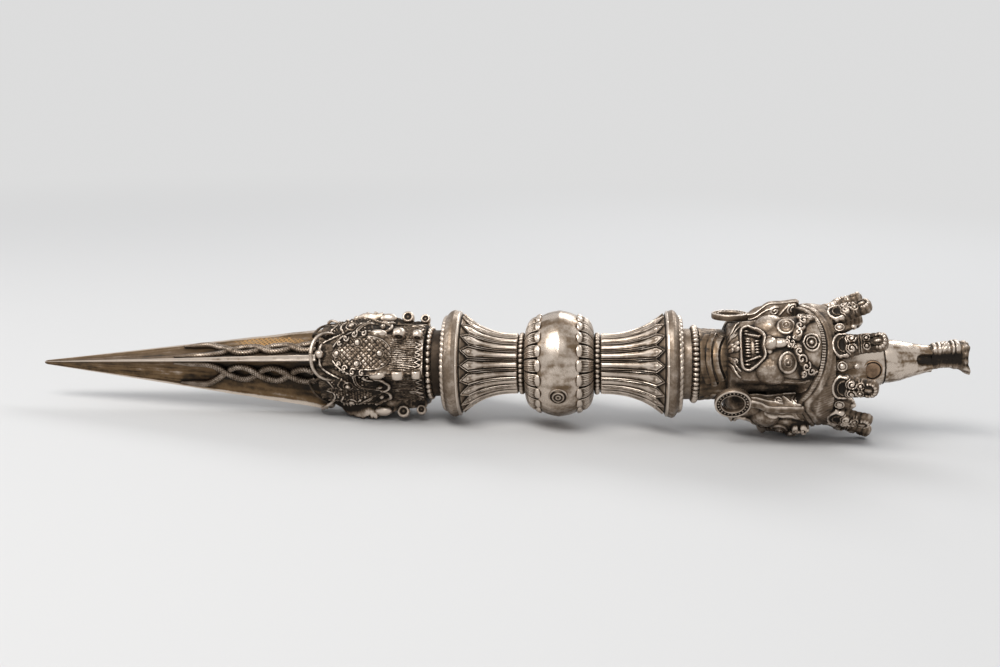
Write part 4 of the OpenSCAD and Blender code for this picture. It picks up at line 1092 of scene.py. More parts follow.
def bead_form(width, radius, count):
    """One bead and its share of the washer that carries it, standing on z = 0."""
    high = width * 0.5
    step = 360 / count
    around = math.pi * (radius - high * 0.8) / count
    bead = ellipsoid((high * 1.02, min(around * 0.98, high * 1.2), high * 0.94), 12, 16, 0.86)
    bead = bead.moved((radius - high, 0, width / 2)).outward()
    foot, rim = radius - 2 * high, radius - high * 0.95
    washer = on_axis(np.linspace(-step / 2, step / 2, 4)[None, :],
                     np.array([foot, rim, rim, foot])[:, None],
                     np.array([0, 0.08, width - 0.08, width])[:, None])
    washer = shell(washer, min(7.5, radius - 3), np.full((4, 4), 0.25), False, sides=False)
    return Form(np.concatenate([bead.points, washer.points]),
                np.concatenate([bead.quads, washer.quads + len(bead.points)]),
                bead.tris, np.concatenate([bead.wear_and_shade, washer.wear_and_shade]))


class PHURBA_OT_bead_rings(bpy.types.Operator):
    """Make the bead rings of the guard, the grip and the throat"""
    bl_idname = "phurba.bead_rings"
    bl_label = "Bead rings"

    def execute(self, context):
        f = context.scene.phurba_form
        for name, node, start, end, radius, count in (
                ("guard_beading", "guard_bead_ring", "guard_beads", "guard_neck", 11.9, f.guard_beads),
                ("lower_beading", "lower_bead_ring", "low_beads", "low_cup", 10.0, f.grip_beads),
                ("upper_beading", "upper_bead_ring", "top_beads", "top_flare", 10.0, f.grip_beads),
                ("throat_beading", "throat_bead_ring", "throat_beads", "throat", 12.5, f.throat_beads)):
            bead = bead_form(PLACE[end] - PLACE[start], radius, count).placed(start)
            repeated(bead, count, name, node)
        return {"FINISHED"}


def lozenge(radius, at_r, count, slant):
    """One strand of a rope ring: a fat slanted leaf with a ridge."""
    step = 2 * math.pi * at_r / count
    body = ellipsoid((radius, step * 0.80, radius * 0.98), 12, 18, 0.84)
    p = body.points.copy()
    p[:, 1] += p[:, 2] * slant
    p[:, 0] += 0.12 * radius * (1 - np.abs(p[:, 1]) / step)
    return body.at(p)


class PHURBA_OT_rope_rings(bpy.types.Operator):
    """Make the rope rings that lie on the domes"""
    bl_idname = "phurba.rope_rings"
    bl_label = "Rope rings"

    def execute(self, context):
        count = context.scene.phurba_form.rope_turns
        # The heights of the domes and of a rope's middle over the dome, and the rope's and its ring's radius
        low_dome, top_dome, over, thick, ring_r = 5.2, 4.0, 1.05, 1.08, 14.4
        low = PLACE["low_dome"] + low_dome * 0.42 - over
        high = PLACE["top_dome"] + top_dome * 0.62 + over
        for name, node, place, hand in (("lower_rope", "lower_rope_ring", low, 1),
                                        ("upper_rope", "upper_rope_ring", high, -1)):
            strand = lozenge(thick, ring_r, count, hand * 0.55).moved((ring_r, 0, place))
            repeated(strand, count, name, node)
        return {"FINISHED"}


# Grip

def petal_relief(across, along, tip_at, half):
    """Height of one petal of a flare. across is -1 to 1 over the pitch, along starts at the rim."""
    depth = bpy.context.scene.phurba_form.chase_depth * 1000
    reach = np.clip((along - tip_at) / 2.7, 0, 1)
    inside = (reach - np.abs(across)) * half
    raised = soft(inside, -0.05, 0.10)
    rim_line = bell(inside - 0.26, 0.15)
    line = bell(inside - 0.58, 0.13)
    middle = bell(across * half, 0.42) * soft(along, 4.0, 6.0)
    second = bell(inside - 0.92, 0.13) * soft(along, 4.5, 7.0) * (half > 1.7)
    h = depth * (raised + 0.75 * rim_line - 1.15 * line + 0.45 * middle - 0.4 * second)
    gap = bell((np.abs(across) - 1) * half, 0.16) * soft(along, tip_at + 2.4, tip_at + 3.2)
    return h - 1.3 * depth * gap


def petal_share(angle, base, h, place, step, depth, level=0.56):
    """One petal's share of a ring, with two sides that meet those of the next one."""
    h[:, -1] = h[:, 0]
    radius = base + h
    last = len(angle) - 1
    three = np.concatenate([radius[:, :-1]] * 3, 1)
    wear_and_shade = worn_from(three, step, True, depth, level)[:, last:2 * last + 1]
    wear_and_shade[:, -1] = wear_and_shade[:, 0]
    return shell(on_axis(angle[None], radius, place), ROD_BORE, wear_and_shade, False, sides=False)


def petal_sides(base, count):
    """The angles over one petal, these as -1 to 1 for each row, and half the petal's width."""
    angle = np.linspace(-180 / count, 180 / count, PETAL_COLS)
    across = np.broadcast_to(angle[None] / (180 / count), (len(base), len(angle)))
    return angle, across, math.pi * base / count


def flare_form(length, up):
    """One petal's share of a flare, from its rim at 0 to its waist."""
    count = bpy.context.scene.phurba_form.petals
    waist, rim = 9.05, 17.3
    s = np.concatenate([np.linspace(0, 0.30, 57), np.linspace(0.30, 1, 66)[1:]])
    along = (s * length)[:, None]
    base = waist + (rim - 0.5 - waist) * (1 - s[:, None]) ** 2.5
    angle, across, half = petal_sides(base, count)
    h = petal_relief(across, along, 1.25, half)
    h = np.maximum(h, 0.75 * dome(((across * half) ** 2 + (along - 4.0) ** 2) / 0.62 ** 2))
    h = h + 0.35 * bell(along - 0.45, 0.34) - 0.32 * bell(along - 1.05, 0.2)
    h = h * (1 - soft(along, length - 0.5, length))
    return petal_share(angle, base, h, length - along if up else along, 0.11, 0.26, 0.62)


def cup_form(up):
    """One petal's share of a cup beside the knot, from the bead ring at 0 to the bulb."""
    length = PLACE["bulb"] - PLACE["low_cup"]
    foot, wide = 9.5, 14.7
    s = np.linspace(0, 1, 56)[:, None]
    turn = np.radians(90 * s)
    base = foot + (wide - foot) * np.sin(turn)
    angle, across, half = petal_sides(base, CUP_PETALS)
    side = np.abs(across) * half
    lobe = dome(across ** 2 * 0.92)
    h = 0.55 * lobe * soft(s, 0.05, 0.6)
    for line in (0.42, 0.95, 1.45):
        h = h - 0.26 * bell(side - line, 0.13) * soft(half, line + 0.1, line + 0.4) * soft(1 - s, 0.08, 0.2)
    h = h - 0.75 * bell((np.abs(across) - 1) * half, 0.24)
    knob = np.sqrt(np.clip(1 - (across / 0.86) ** 2 - ((s - 0.95) / 0.13) ** 2, 0, 1))
    h = (h + 0.75 * knob) * soft(s, 0.0, 0.1)
    # The lobes reach over the bulb's edge
    along = length * (1 - np.cos(turn)) + 0.75 * lobe * soft(s, 0.72, 1.0)
    return petal_share(angle, base, h, length - along if up else along, 0.12, 0.3)


def bulb_form():
    """The knot's smooth bulb with its soft keel."""
    length = PLACE["top_cup"] - PLACE["bulb"]
    edge, keel = 14.9, 17.1
    s = np.linspace(0, 1, 90)
    angle = all_round(300)
    bow = np.cos(np.radians(180 * s - 90)) ** 0.85
    base = edge + (keel - 0.12 - edge) * bow + bell(s - 0.5, 0.07) * 0.12
    radius = np.broadcast_to(base[:, None], (len(s), len(angle))).copy()
    radius += cast_grain(radius.shape, 9, 0.045, 31, True) * np.sin(np.pi * s)[:, None]
    wear_and_shade = np.clip(0.72 + streaks(radius.shape, 30, 32) * 0.05, 0, 1)
    return shell(on_axis(angle[None], radius, (s * length)[:, None]), ROD_BORE, wear_and_shade, True)


def turned_about_x(outline, wear_and_shade, steps):
    """A shape turned about the x axis, from its outline's places and radii."""
    turn = np.radians(all_round(steps))
    rings = np.array([[(x, r * math.cos(a), r * math.sin(a)) for a in turn] for x, r in outline])
    return loft(rings, np.array(wear_and_shade)[:, None])


def pin_form():
    """The ringed boss of the cross pin, its shank and its peened end."""
    outline = [(-17.5, 0.01), (-17.5, 1.2), (-17.3, 1.8), (-16.8, 2.1), (-16.2, 2.1), (-16.19, 1.2),
               (15.99, 1.2), (16.0, 3.0), (16.75, 3.05), (17.05, 2.9), (17.12, 2.6), (16.86, 2.35),
               (16.86, 2.15), (17.2, 1.95), (17.42, 1.75), (17.45, 1.5), (17.18, 1.25), (17.18, 1.1),
               (17.42, 0.9), (17.5, 0.6), (17.38, 0.35), (17.3, 0.01)]
    wear_and_shade = [0.5] * 8 + [0.7, 0.8, 0.6, 0.15, 0.15, 0.6, 0.8, 0.6, 0.12, 0.12, 0.6, 0.8, 0.4, 0.2]
    return turned_about_x(outline, wear_and_shade, 48)


class PHURBA_OT_grip(bpy.types.Operator):
    """Make the double flared grip with its petals, cups and knot"""
    bl_idname = "phurba.grip"
    bl_label = "Grip"

    def execute(self, context):
        petals = context.scene.phurba_form.petals
        low = flare_form(PLACE["low_beads"] - PLACE["low_flare"], False)
        top = flare_form(PLACE["top_dome"] - PLACE["top_flare"], True)
        for name, node, form, start, count in (
                ("lower_flare_petals", "lower_grip_flare", low, "low_flare", petals),
                ("upper_flare_petals", "upper_grip_flare", top, "top_flare", petals),
                ("lower_cup_petals", "lower_petal_cup", cup_form(False), "low_cup", CUP_PETALS),
                ("upper_cup_petals", "upper_petal_cup", cup_form(True), "top_cup", CUP_PETALS)):
            repeated(form.placed(start), count, name, node)
        piece(bulb_form().placed("bulb"), "knot_ball", "knot_bulb", material=polished_silver())
        pin = pin_form().turned(PIN_ANGLE).moved((0, 0, (PLACE["bulb"] + PLACE["top_cup"]) / 2))
        piece(pin, "knot_boss", "knot_pin")
        return {"FINISHED"}


# Throat

def throat_form():
    """The throat with its two crescent folds on the side of each face."""
    length = PLACE["head"] - PLACE["throat"]
    place = np.linspace(0, length, 62)
    angle = all_round(420)
    v, a = np.meshgrid(place, angle, indexing="ij")
    base = np.interp(v, [0, 1.2, length * 0.35, length], [11.6, 11.3, 11.1, 10.9])
    near = from_side(a + HEAD_TURN)
    work = Chasing(near * math.radians(1) * 11, v)
    for shift, half in ((1.7, 7.8), (3.7, 8.8), (5.9, 7.0)):
        line = curve_through([(-half, shift + 1.9), (-half * 0.5, shift + 0.5), (0, shift),
                              (half * 0.5, shift + 0.5), (half, shift + 1.9)], 30)
        work.ridge(line - [0, 1.0], 1.15, 0.26)
        work.groove(line, 0.34, 0.55)
    radius = base + work.h + cast_grain(base.shape, 4, 0.03, 41, True)
    wear_and_shade = worn_from(radius, 0.14, True, 0.3, 0.43) + streaks(base.shape, 30, 42) * 0.05
    return shell(on_axis(a, radius, v), ROD_BORE, np.clip(wear_and_shade, 0, 1), True).placed("throat")


class PHURBA_OT_throat(bpy.types.Operator):
    """Make the throat under the head"""
    bl_idname = "phurba.throat"
    bl_label = "Throat"

    def execute(self, context):
        piece(throat_form(), "creased_throat", "throat", material=polished_silver())
        return {"FINISHED"}


# Head

def band_dip(a):
    """How far the diadem runs down towards the ears, by the angle from the middle of a face."""
    return 4.2 * np.clip(np.abs(a) / 46, 0, 1.25) ** 2


def face_form():
    """A wrathful three-eyed face with bared teeth, its middle at angle 0 and its chin at 0."""
    angle = np.linspace(-FACE_HALF, FACE_HALF, 261)
    share = np.linspace(0, 1, 190)
    s, a = np.meshgrid(share, angle, indexing="ij")
    v = s * (FACE_HIGH - band_dip(a))
    u = np.radians(a) * HEAD_ARC
    broad = cast_grain(v.shape, 7, 1.0, 52)
    base = np.interp(v, [0, 0.8, 2.5, 5.4, 11.3, 16.7, 24, 27],
                     [12.6, 14.2, 16.2, 17.0, 17.5, 18.2, 18.9, 19.2])
    base = base - 0.7 * (np.abs(a) / 56) ** 2
    # Room for the earring and the bar of each ear
    recess = soft(np.abs(a), 34, 47) * (1 - soft(v, 19.5, 24.0))
    base = base + (np.minimum(base, 13.5) - base) * recess
    work = Chasing(u, v)

    def lens(cu, cv, ru, rv, high, power=0.5, tilt=0.0):
        du, dv = u - cu, v - cv
        d = (du / ru) ** 2 + ((dv - tilt * du) / rv) ** 2
        return high * np.clip(1 - d, 0, 1) ** power

    # The rounded mask of eyes and forehead, the large smooth cheeks and the chin
    mask = lens(0, 19.6, 10.6, 10.2, 2.6, 0.42)
    cheeks = np.maximum(*[lens(hand * 8.2, 12.2, 5.4, 4.4, 2.5, 0.75, hand * 0.12) for hand in (-1, 1)])
    chin = lens(0, 2.0, 6.4, 3.0, 1.3)
    base = base + np.maximum.reduce([mask, cheeks, chin])

    # Open mouth with six corners: a thin raised lip round a shallow hollow
    mouth = [(-8.0, 6.0), (-6.9, 4.0), (-2.5, 3.6), (2.5, 3.6), (6.9, 4.0), (8.0, 6.0), (5.8, 8.6),
             (3.3, 10.5), (0, 10.1), (-3.3, 10.5), (-5.8, 8.6)]
    deep = work.inside(mouth)
    flat_mouth = np.interp(v, [3, 11], [16.9, 18.2])
    base = np.where(deep > -0.3, base + (flat_mouth - base) * soft(deep, -0.3, 0.5), base)
    work.ridge(curve_through(mouth + [mouth[0]], 90), 0.48, 0.95)
    teeth = np.zeros_like(base)
    for k in range(-3, 4):
        teeth = np.maximum(teeth, lens(k * 1.05 + 0.1 * (k % 2), 5.6, 0.44, 1.0, 0.75, 0.3))
    for k in range(-2, 3):
        teeth = np.maximum(teeth, lens(k, 8.5, 0.42, 0.85, 0.8, 0.3))
    for hand in (-1, 1):
        for k in range(7):
            f = k / 6
            teeth = np.maximum(teeth, lens(hand * (3.5 + 1.5 * f), 9.0 - 3.9 * f, 0.62 * (1 - 0.62 * f),
                                           0.75, 1.3 * (1 - 0.3 * f), 0.5))
        teeth = np.maximum(teeth, lens(hand * 6.2, 5.4, 0.5, 1.1, 0.9, 0.5))
    tongue = lens(0.2, 7.1, 2.6, 0.8, 0.45)
    base = base + np.where(deep > 0, np.maximum(teeth, tongue) - soft(deep, 0.1, 0.9), 0)

    for hand in (-1, 1):
        # Nostrils and the folds round the cheeks
        work.ball(hand * 1.9, 11.7, 1.1, 0.8, 1.0, 25 * hand)
        fold = mirrored(hand, ((2.4, 13.9), (4.2, 12.9), (5.9, 10.2), (8.6, 8.7), (12.0, 9.3)), 30)
        work.groove(fold + [hand * -0.6, -0.6], 0.42, 0.4)
        work.spiral(hand * 5.0, 1.4, 1.0, 1.2, 0.36, 0.7, 60, hand)
        # Eyes: a thick oval lid, a socket line, the ball with its ring
        eye = (hand * 5.6, 17.0)
        work.h = np.maximum(work.h, lens(*eye, 2.7, 2.2, 0.75, 0.5))
        work.ring(*eye, 2.75, 0.5, 0.62, 2.3)
        work.ring(*eye, 1.15, 0.22, 1.0, 1.05)
        work.ball(*eye, 0.5, 1.2)
        socket = mirrored(hand, ((2.3, 15.2), (4.6, 13.9), (8.0, 14.3), (10.2, 16.6), (11.4, 20.2)), 26)
        work.groove(socket, 0.36, 0.5)
        # Brow of thick curls
        brow = mirrored(hand, ((1.6, 19.8), (3.6, 20.3), (5.4, 21.4), (7.2, 23.3), (8.7, 25.9)), 30)
        work.ridge(brow, 1.5, 1.05, 0.3)
        for k, (cu, cv, r) in enumerate(((2.6, 20.2, 1.05), (4.7, 20.9, 1.35), (6.6, 22.2, 1.3),
                                         (7.9, 24.0, 1.25), (8.9, 25.8, 1.0), (8.6, 21.6, 0.95))):
            way = hand if k % 2 else -hand
            work.spiral(hand * cu, cv, r, 1.15, 0.45, 1.55 + 0.15 * (k % 2), 70 * k, way)
            work.ball(hand * cu, cv, r * 0.36, 1.35)
        # Hair waves in front of the ear and under the jaw
        for k in range(3):
            wave = mirrored(hand, ((11.0 + 0.8 * k, 23.6 - 1.1 * k), (12.2 + 0.8 * k, 20.0),
                                   (11.9 + 0.9 * k, 16.5), (12.9 + 0.8 * k, 12.0)), 22)
            work.ridge(wave, 0.4, 0.28)
        for k in range(2):
            wave = mirrored(hand, ((3.2 + 2.3 * k, -0.4), (4.6 + 2.4 * k, 1.0),
                                   (6.6 + 2.4 * k, 1.9), (8.4 + 2.4 * k, 3.4)), 20)
            work.ridge(wave, 0.6, 0.7, 0.4)
    # Nose, brow knot and third eye
    nose = np.maximum(lens(0, 14.2, 1.5, 3.6, 1.5), lens(0, 12.2, 2.0, 2.1, 2.5, 0.65))
    work.h = np.maximum(work.h, nose)
    knot = ((-1.2, 17.4), (1.2, 17.4), (-1.4, 19.0), (1.3, 19.1), (0, 16.9), (0, 18.3))
    for k, (cu, cv) in enumerate(knot):
        work.spiral(cu, cv, 0.75, 1.0, 0.3, 1.25, 60 * k, 1 if k % 2 else -1)
        work.ball(cu, cv, 0.36, 1.2)
    lid = [(0, 21.5), (1.7, 22.5), (2.3, 24.1), (1.7, 25.7), (0, 26.5)]
    for hand, high in ((-1, 0.75), (1, 0.5)):
        work.ridge(mirrored(hand, lid, 24), 0.34, high)
    work.ring(0, 24.0, 1.45, 0.24, 0.6)
    work.ball(0, 24.0, 0.72, 0.85)
    # Beard tuft
    for cu, cv in ((-0.85, 0.7), (0.85, 0.7), (-0.9, 2.3), (0.9, 2.3), (0, 1.5)):
        work.ball(cu, cv, 0.95, 1.15)
    radius = base + work.h * (1 + 0.10 * broad) + rough_cast(base.shape, 0.03, 51)
    wear_and_shade = worn_from(radius - 0.5 * base, 0.15, False, 0.42, 0.56) + 0.05 * broad
    wear_and_shade = wear_and_shade + 0.24 * lens(0, 23.5, 7.5, 5.0, 1.0) * (work.h < 0.2)
    wear_and_shade = wear_and_shade + 0.25 * lens(0, 12.2, 2.2, 2.8, 1.0)
    wear_and_shade = wear_and_shade - 0.10 * recess - 0.12 * soft(np.abs(a), 30, 44)
    return shell(on_axis(a, radius, v), CORE_BORE, np.clip(wear_and_shade, 0, 1), False).placed("head")


def hair_band_form():
    """The band between the faces and the crown: a diadem of small ticks under a smooth hoop."""
    angle = all_round(1080)
    share = np.linspace(0, 1, 46)
    s, a = np.meshgrid(share, angle, indexing="ij")
    near = from_side(a)
    low = FACE_HIGH - band_dip(np.clip(near, -FACE_HALF, FACE_HALF))
    v = low + s * (BAND_HIGH - low)
    over = v - low
    u = np.radians(a) * HEAD_ARC
    base = np.interp(v, [21, 24, FACE_HIGH, BAND_HIGH], [18.2, 19.0, 19.3, 18.6])
    bar = soft(over, 0.3, 0.5) * (1 - soft(over, 1.5, 1.75))
    tick = np.abs(np.sin(np.pi * u / 0.8)) ** 0.7 * (1 - 0.75 * soft(np.abs(near), 14, 34))
    work = bar * (0.10 + 0.34 * tick)
    hoop = soft(over, 1.9, 2.5) * (1 - soft(over, 3.4, 4.4))
    work = np.maximum(work, 0.26 * hoop)
    strand = np.abs(np.sin(np.pi * (u + 0.5 * over) / 1.1)) * soft(over, 4.5, 5.4)
    work = np.maximum(work, 0.07 * strand)
    radius = base + work + rough_cast(base.shape, 0.022, 61, True)
    wear_and_shade = worn_from(radius, 0.12, True, 0.34, 0.50) - 0.08 * hoop
    wear_and_shade = wear_and_shade + cast_grain(base.shape, 12, 0.06, 62, True)
    return shell(on_axis(a, radius, v), CORE_BORE, np.clip(wear_and_shade, 0, 1), True).placed("head")


def ear_form(lobe_r, rise, lean):
    """An ear's long bar with scrolls on both sides, rising from its lobe to a rounded end."""
    length, blunt, rows = 17.5, 0.42, 90
    line = curve_through([(lobe_r - 1.8, 5.4), (lobe_r - 2.0, 8.4), (17.2, 12.6), (16.9 + rise * 0.5, 16.6),
                          (16.8 + rise, 20.4), (16.7 + rise, 22.6)], rows)
    share = np.linspace(0, 1, rows)
    high = np.interp(share, [0, 0.12, 0.3, 0.6, 0.86, 0.95, 1],
                     [2.8, 4.0, 5.0, 5.8, 6.3, 5.4, 2.2])[:, None] / 2
    thick = np.interp(share, [0, 0.1, 0.9, 1], [0.8, 1.12, 1.15, 0.6])[:, None]
    # Even steps over the flat sides, and a few round the edges
    flat_side = np.arccos(squared(np.linspace(0.97, -0.97, 27), 1 / blunt))
    half = np.concatenate([flat_side, np.radians([166, 173, 180, 187, 194])])
    turn = np.concatenate([half, half + math.pi])
    across, side = squared(np.cos(turn), blunt)[None], squared(np.sin(turn), blunt)[None]
    ring_r = line[:, None, 0] + high * across
    ring_v = line[:, None, 1] + 0.35 * high * across
    work = Chasing(across * high, (share * length)[:, None])
    for hand in (-1, 1):
        work.ridge(np.stack([hand * (high[:, 0] - 0.4), share * length], -1)[4:-4], 0.36, 0.42)
    work.spiral(0.4, 14.6, 1.75, 1.7, 0.36, 0.55, 200, 1)
    work.spiral(-0.2, 9.6, 1.3, 1.4, 0.32, 0.5, 20, -1)
    work.ridge(curve_through([(1.7, 13.0), (0.2, 12.0), (-1.4, 11.2)], 14), 0.3, 0.45)
    work.ridge(curve_through([(1.1, 9.2), (0.2, 7.6), (0.0, 4.6), (0.0, 2.2)], 16), 0.3, 0.4)
    flat = np.abs(side) ** 3 * (np.abs(across) < 0.985)
    out = thick + work.h * flat
    points = np.stack([ring_r, side * out, ring_v], -1)
    wear_and_shade = 0.68 + (work.h - 0.12) * flat - 0.16 * (1 - flat) + cast_grain(out.shape, 2, 0.06, 64)
    web = np.array([[(r, y, z) for r, y in ((11.0, -0.9), (17.0, -0.9), (17.0, 0.9), (11.0, 0.9))]
                    for z in (12.0, 14.5, 18.5, 21.6)])
    for rings in (points, web):
        rings[..., 1] += lean * (rings[..., 0] - 13.0) * soft(rings[..., 2], 8.0, 13.0)
    return [f.placed("head") for f in (loft(points, np.clip(wear_and_shade, 0, 1)), loft(web, 0.3))]


def earring_forms():
    """An earring lying flat on z = 0: a thick ring with two rims, and one of the bars between them."""
    half = [(5.64, 0.6, 0.45), (5.5, 0.88, 0.9), (5.2, 0.95, 1.0), (4.98, 0.84, 0.6), (4.94, 0.42, 0.03),
            (3.98, 0.42, 0.03), (3.94, 0.74, 0.5), (3.74, 0.86, 0.85), (3.5, 0.7, 0.55), (3.42, 0.3, 0.35)]
    radius, high, wear_and_shade = np.array(half[::-1] + [(r, -z, s) for r, z, s in half]).T
    rows, cols = 96, len(radius)
    ring = on_axis(all_round(rows)[:, None], radius[None], high[None])
    i, j = np.arange(rows)[:, None], np.arange(cols)[None, :]
    k, n = (j + 1) % cols, (i + 1) % rows
    quads = np.stack([i * cols + j, i * cols + k, n * cols + k, n * cols + j], -1)
    body = Form(ring, quads, np.zeros((0, 3), int), np.broadcast_to(wear_and_shade, (rows, cols)))
    bead = ellipsoid((0.58, 0.36, 0.92), 10, 12, 0.75).moved((4.46, 0, 0))
    return body, bead


class PHURBA_OT_faces(bpy.types.Operator):
    """Make the three faces and the hair band"""
    bl_idname = "phurba.faces"
    bl_label = "Faces"

    def execute(self, context):
        form = face_form()
        for side, angle in SIDES.items():
            piece(form.turned(angle), "wrathful_face_" + side, "face_" + side, matrix=LAY_HEAD)
        piece(hair_band_form(), "diadem_band", "hair_band", matrix=LAY_HEAD)
        return {"FINISHED"}


class PHURBA_OT_ears(bpy.types.Operator):
    """Make the ears and the notched rings that hang in them"""
    bl_idname = "phurba.ears"
    bl_label = "Ears and earrings"

    def execute(self, context):
        count = context.scene.phurba_form.ring_notches
        body, bead = earring_forms()
        # The ring's middle hangs the ring's radius below the lobe
        ring_at = PLACE["head"] + FACE_HIGH * 0.26 - 5.6
        for side, (angle, lobe_r, rise, lean) in EARS.items():
            ear = [f.turned(angle) for f in ear_form(lobe_r, rise, lean)]
            piece(ear, "scroll_ear_" + side, "ear_" + side, matrix=LAY_HEAD)
            place = (LAY_HEAD @ rotation(angle) @ Matrix.Translation((lobe_r - 1.1, 0, ring_at))
                     @ Matrix.Rotation(math.pi / 2, 4, "Y"))
            piece(body, "earring_hoop_" + side, "earring_" + side, matrix=place)
            repeated(bead, count, "earring_beads_" + side, matrix=place)
        return {"FINISHED"}


# Crown

def skull_form(length):
    """A skull with a long scalloped snout, standing on z = 0 with its front towards +x."""
    rows, cols = 110, 96
    s = np.linspace(0, 1, rows)
    l = s * length
    wide = np.interp(l, [0, 1.2, 4.2, 5.6, 7.6, 9.0, length - 2.4, length - 1.1, length - 0.4, length],
                     [7.0, 7.9, 7.5, 6.7, 5.9, 5.5, 5.7, 5.0, 3.9, 1.8]) / 2
    deep = np.interp(l, [0, 3, 6, 9, length - 1.6, length - 0.5, length],
                     [3.2, 3.6, 3.6, 3.2, 3.3, 2.7, 1.4]) / 2
    turn = np.radians(all_round(cols))
    c, sn = np.cos(turn), np.sin(turn)
    px = deep[:, None] * squared(c, 0.7)[None]
    py = wide[:, None] * squared(sn, 0.75)[None]
    pl = np.broadcast_to(l[:, None], px.shape)
    front = np.broadcast_to(soft(c, 0.02, 0.25)[None], px.shape)
    work = Chasing(py, pl)
    crescent = curve_through([(-3.4, 4.4), (-3.5, 2.2), (-1.9, 0.9), (0, 0.5), (1.9, 0.9), (3.5, 2.2),
                              (3.4, 4.4)], 40)
    work.ridge(crescent, 0.5, 0.8)
    work.ridge(curve_through([(-2.4, 3.7), (-1.5, 2.4), (0, 1.9), (1.5, 2.4), (2.4, 3.7)], 24), 0.26, 0.45)
    work.dent(0, 3.1, 2.1, 0.5, 0.9)
    for hand in (-1, 1):
        curl, stud = (hand * 1.62, 6.0), (hand * 1.25, length * 0.63)
        work.spiral(*curl, 1.45, 1.5, 0.34, 0.95, 90, hand)
        work.ball(*curl, 0.55, 1.05)
        work.ridge(mirrored(hand, ((0.5, 4.6), (1.9, 4.3), (3.0, 5.2)), 14), 0.3, 0.6)
        work.ball(*stud, 0.62, 0.8)
        work.ring(*stud, 1.0, 0.24, 0.6)
    for k in range(2):
        work.ridge([(-3, 7.9 + 0.75 * k), (0, 8.15 + 0.75 * k), (3, 7.9 + 0.75 * k)], 0.24, 0.42)
    # Upper lip with its teeth, the slit under it, and the scalloped rim of the snout
    tip = length - 2.5
    for k in range(9):
        turn_k = math.radians(-112 + 28 * k)
        work.ball(2.05 * math.sin(turn_k), tip + 1.75 * math.cos(turn_k), 0.52, 0.55)
    slit = curve_through([(-1.1, length * 0.71), (-1.15, tip + 0.1), (0, tip + 0.85), (1.15, tip + 0.1),
                          (1.1, length * 0.71)], 30)
    work.groove(slit, 0.3, 0.6)
    work.ball(0, tip - 0.3, 0.6, 0.6, 1.3)
    h = (work.h + cast_grain(px.shape, 1, 0.035, 63, True)) * front
    # A plainer back with a spine
    back = np.broadcast_to(soft(-c, 0.1, 0.4)[None], px.shape)
    spine = 0.35 * bell(py, 0.5) + 0.18 * np.abs(np.sin(pl * 2.2))
    h = h + spine * back * soft(pl, 1.0, 3.0)
    edge = 0.22 * np.abs(np.sin(pl * 1.9 + 0.4)) * (np.abs(sn) ** 6)[None]
    points = np.stack([px + h * squared(c, 0.3)[None], py + edge * np.sign(sn)[None], pl], -1)
    wear_and_shade = np.clip(0.50 + (h - 0.28) * 0.85 + edge + 0.22 * soft(pl, length - 3.5, length), 0, 1)
    return loft(points, wear_and_shade)


def skull_place(form):
    """Leans a skull outwards on the crown's circle, with its foot sunk in the seat."""
    lean, circle, sunk = 20.0, 16.7, 0.5
    return form.moved((0, 0, -sunk)).turned(lean, "Y").moved((circle, 0, PLACE["crown"]))


def bent_by_hand(crown):
    """Bends each skull of a piece out or in a little, by the step of its angle, 40 degrees each."""
    mesh = crown.data
    p = np.empty(len(mesh.vertices) * 3, np.float32)
    mesh.vertices.foreach_get("co", p)
    p = placed_by(LAY_HEAD.inverted(), p.reshape(-1, 3).astype(float))
    a = np.degrees(np.arctan2(p[:, 1], p[:, 0]))
    out = np.array(SKULL_BEND)[np.round(a / 40).astype(int) % 9]
    rise = np.clip((p[:, 2] - PLACE["crown"]) / 15, 0, 2)
    p[:, :2] *= (1 + out * rise ** 1.5 / np.maximum(np.hypot(p[:, 0], p[:, 1]), 1))[:, None]
    p[:, 2] -= 0.3 * out * rise ** 2
    mesh.vertices.foreach_set("co", placed_by(LAY_HEAD, p).astype(np.float32).ravel())
    mesh.update()


def jewel_forms():
    """A pointed plaque with a ringed stone and a ball tip, between two skulls."""
    rows = np.linspace(0, 1, 24)
    l = rows * 6.6 - 0.4
    wide = np.interp(l, [-0.4, 0, 3.1, 5.6, 6.2], [1.5, 1.7, 1.55, 0.5, 0.2])
    deep = np.interp(l, [-0.4, 0, 5, 6.2], [0.9, 1.0, 0.8, 0.3])
    turn = np.radians(np.arange(28) * 360 / 28)
    c, s = np.cos(turn), np.sin(turn)
    px = deep[:, None] * squared(c, 0.6)[None]
    py = wide[:, None] * squared(s, 0.6)[None]
    pl = np.broadcast_to(l[:, None], px.shape)
    plaque = loft(np.stack([px, py, pl], -1), 0.5)
    stone = ellipsoid((0.75, 1.0, 1.0), 10, 16, 0.85).moved((1.0, 0, 2.2))
    turn = np.linspace(0, 2 * math.pi, 25)
    rim = tube(np.stack([np.full(25, 1.0), 1.32 * np.cos(turn), 2.2 + 1.32 * np.sin(turn)], -1), 0.26, 8, 0.8)
    ball = ellipsoid((0.85, 0.85, 0.85), 10, 14, 0.9).moved((0.3, 0, 6.3))
    return [f.turned(12, "Y").moved((16.9, 0, PLACE["crown"])) for f in (plaque, stone, rim, ball)]


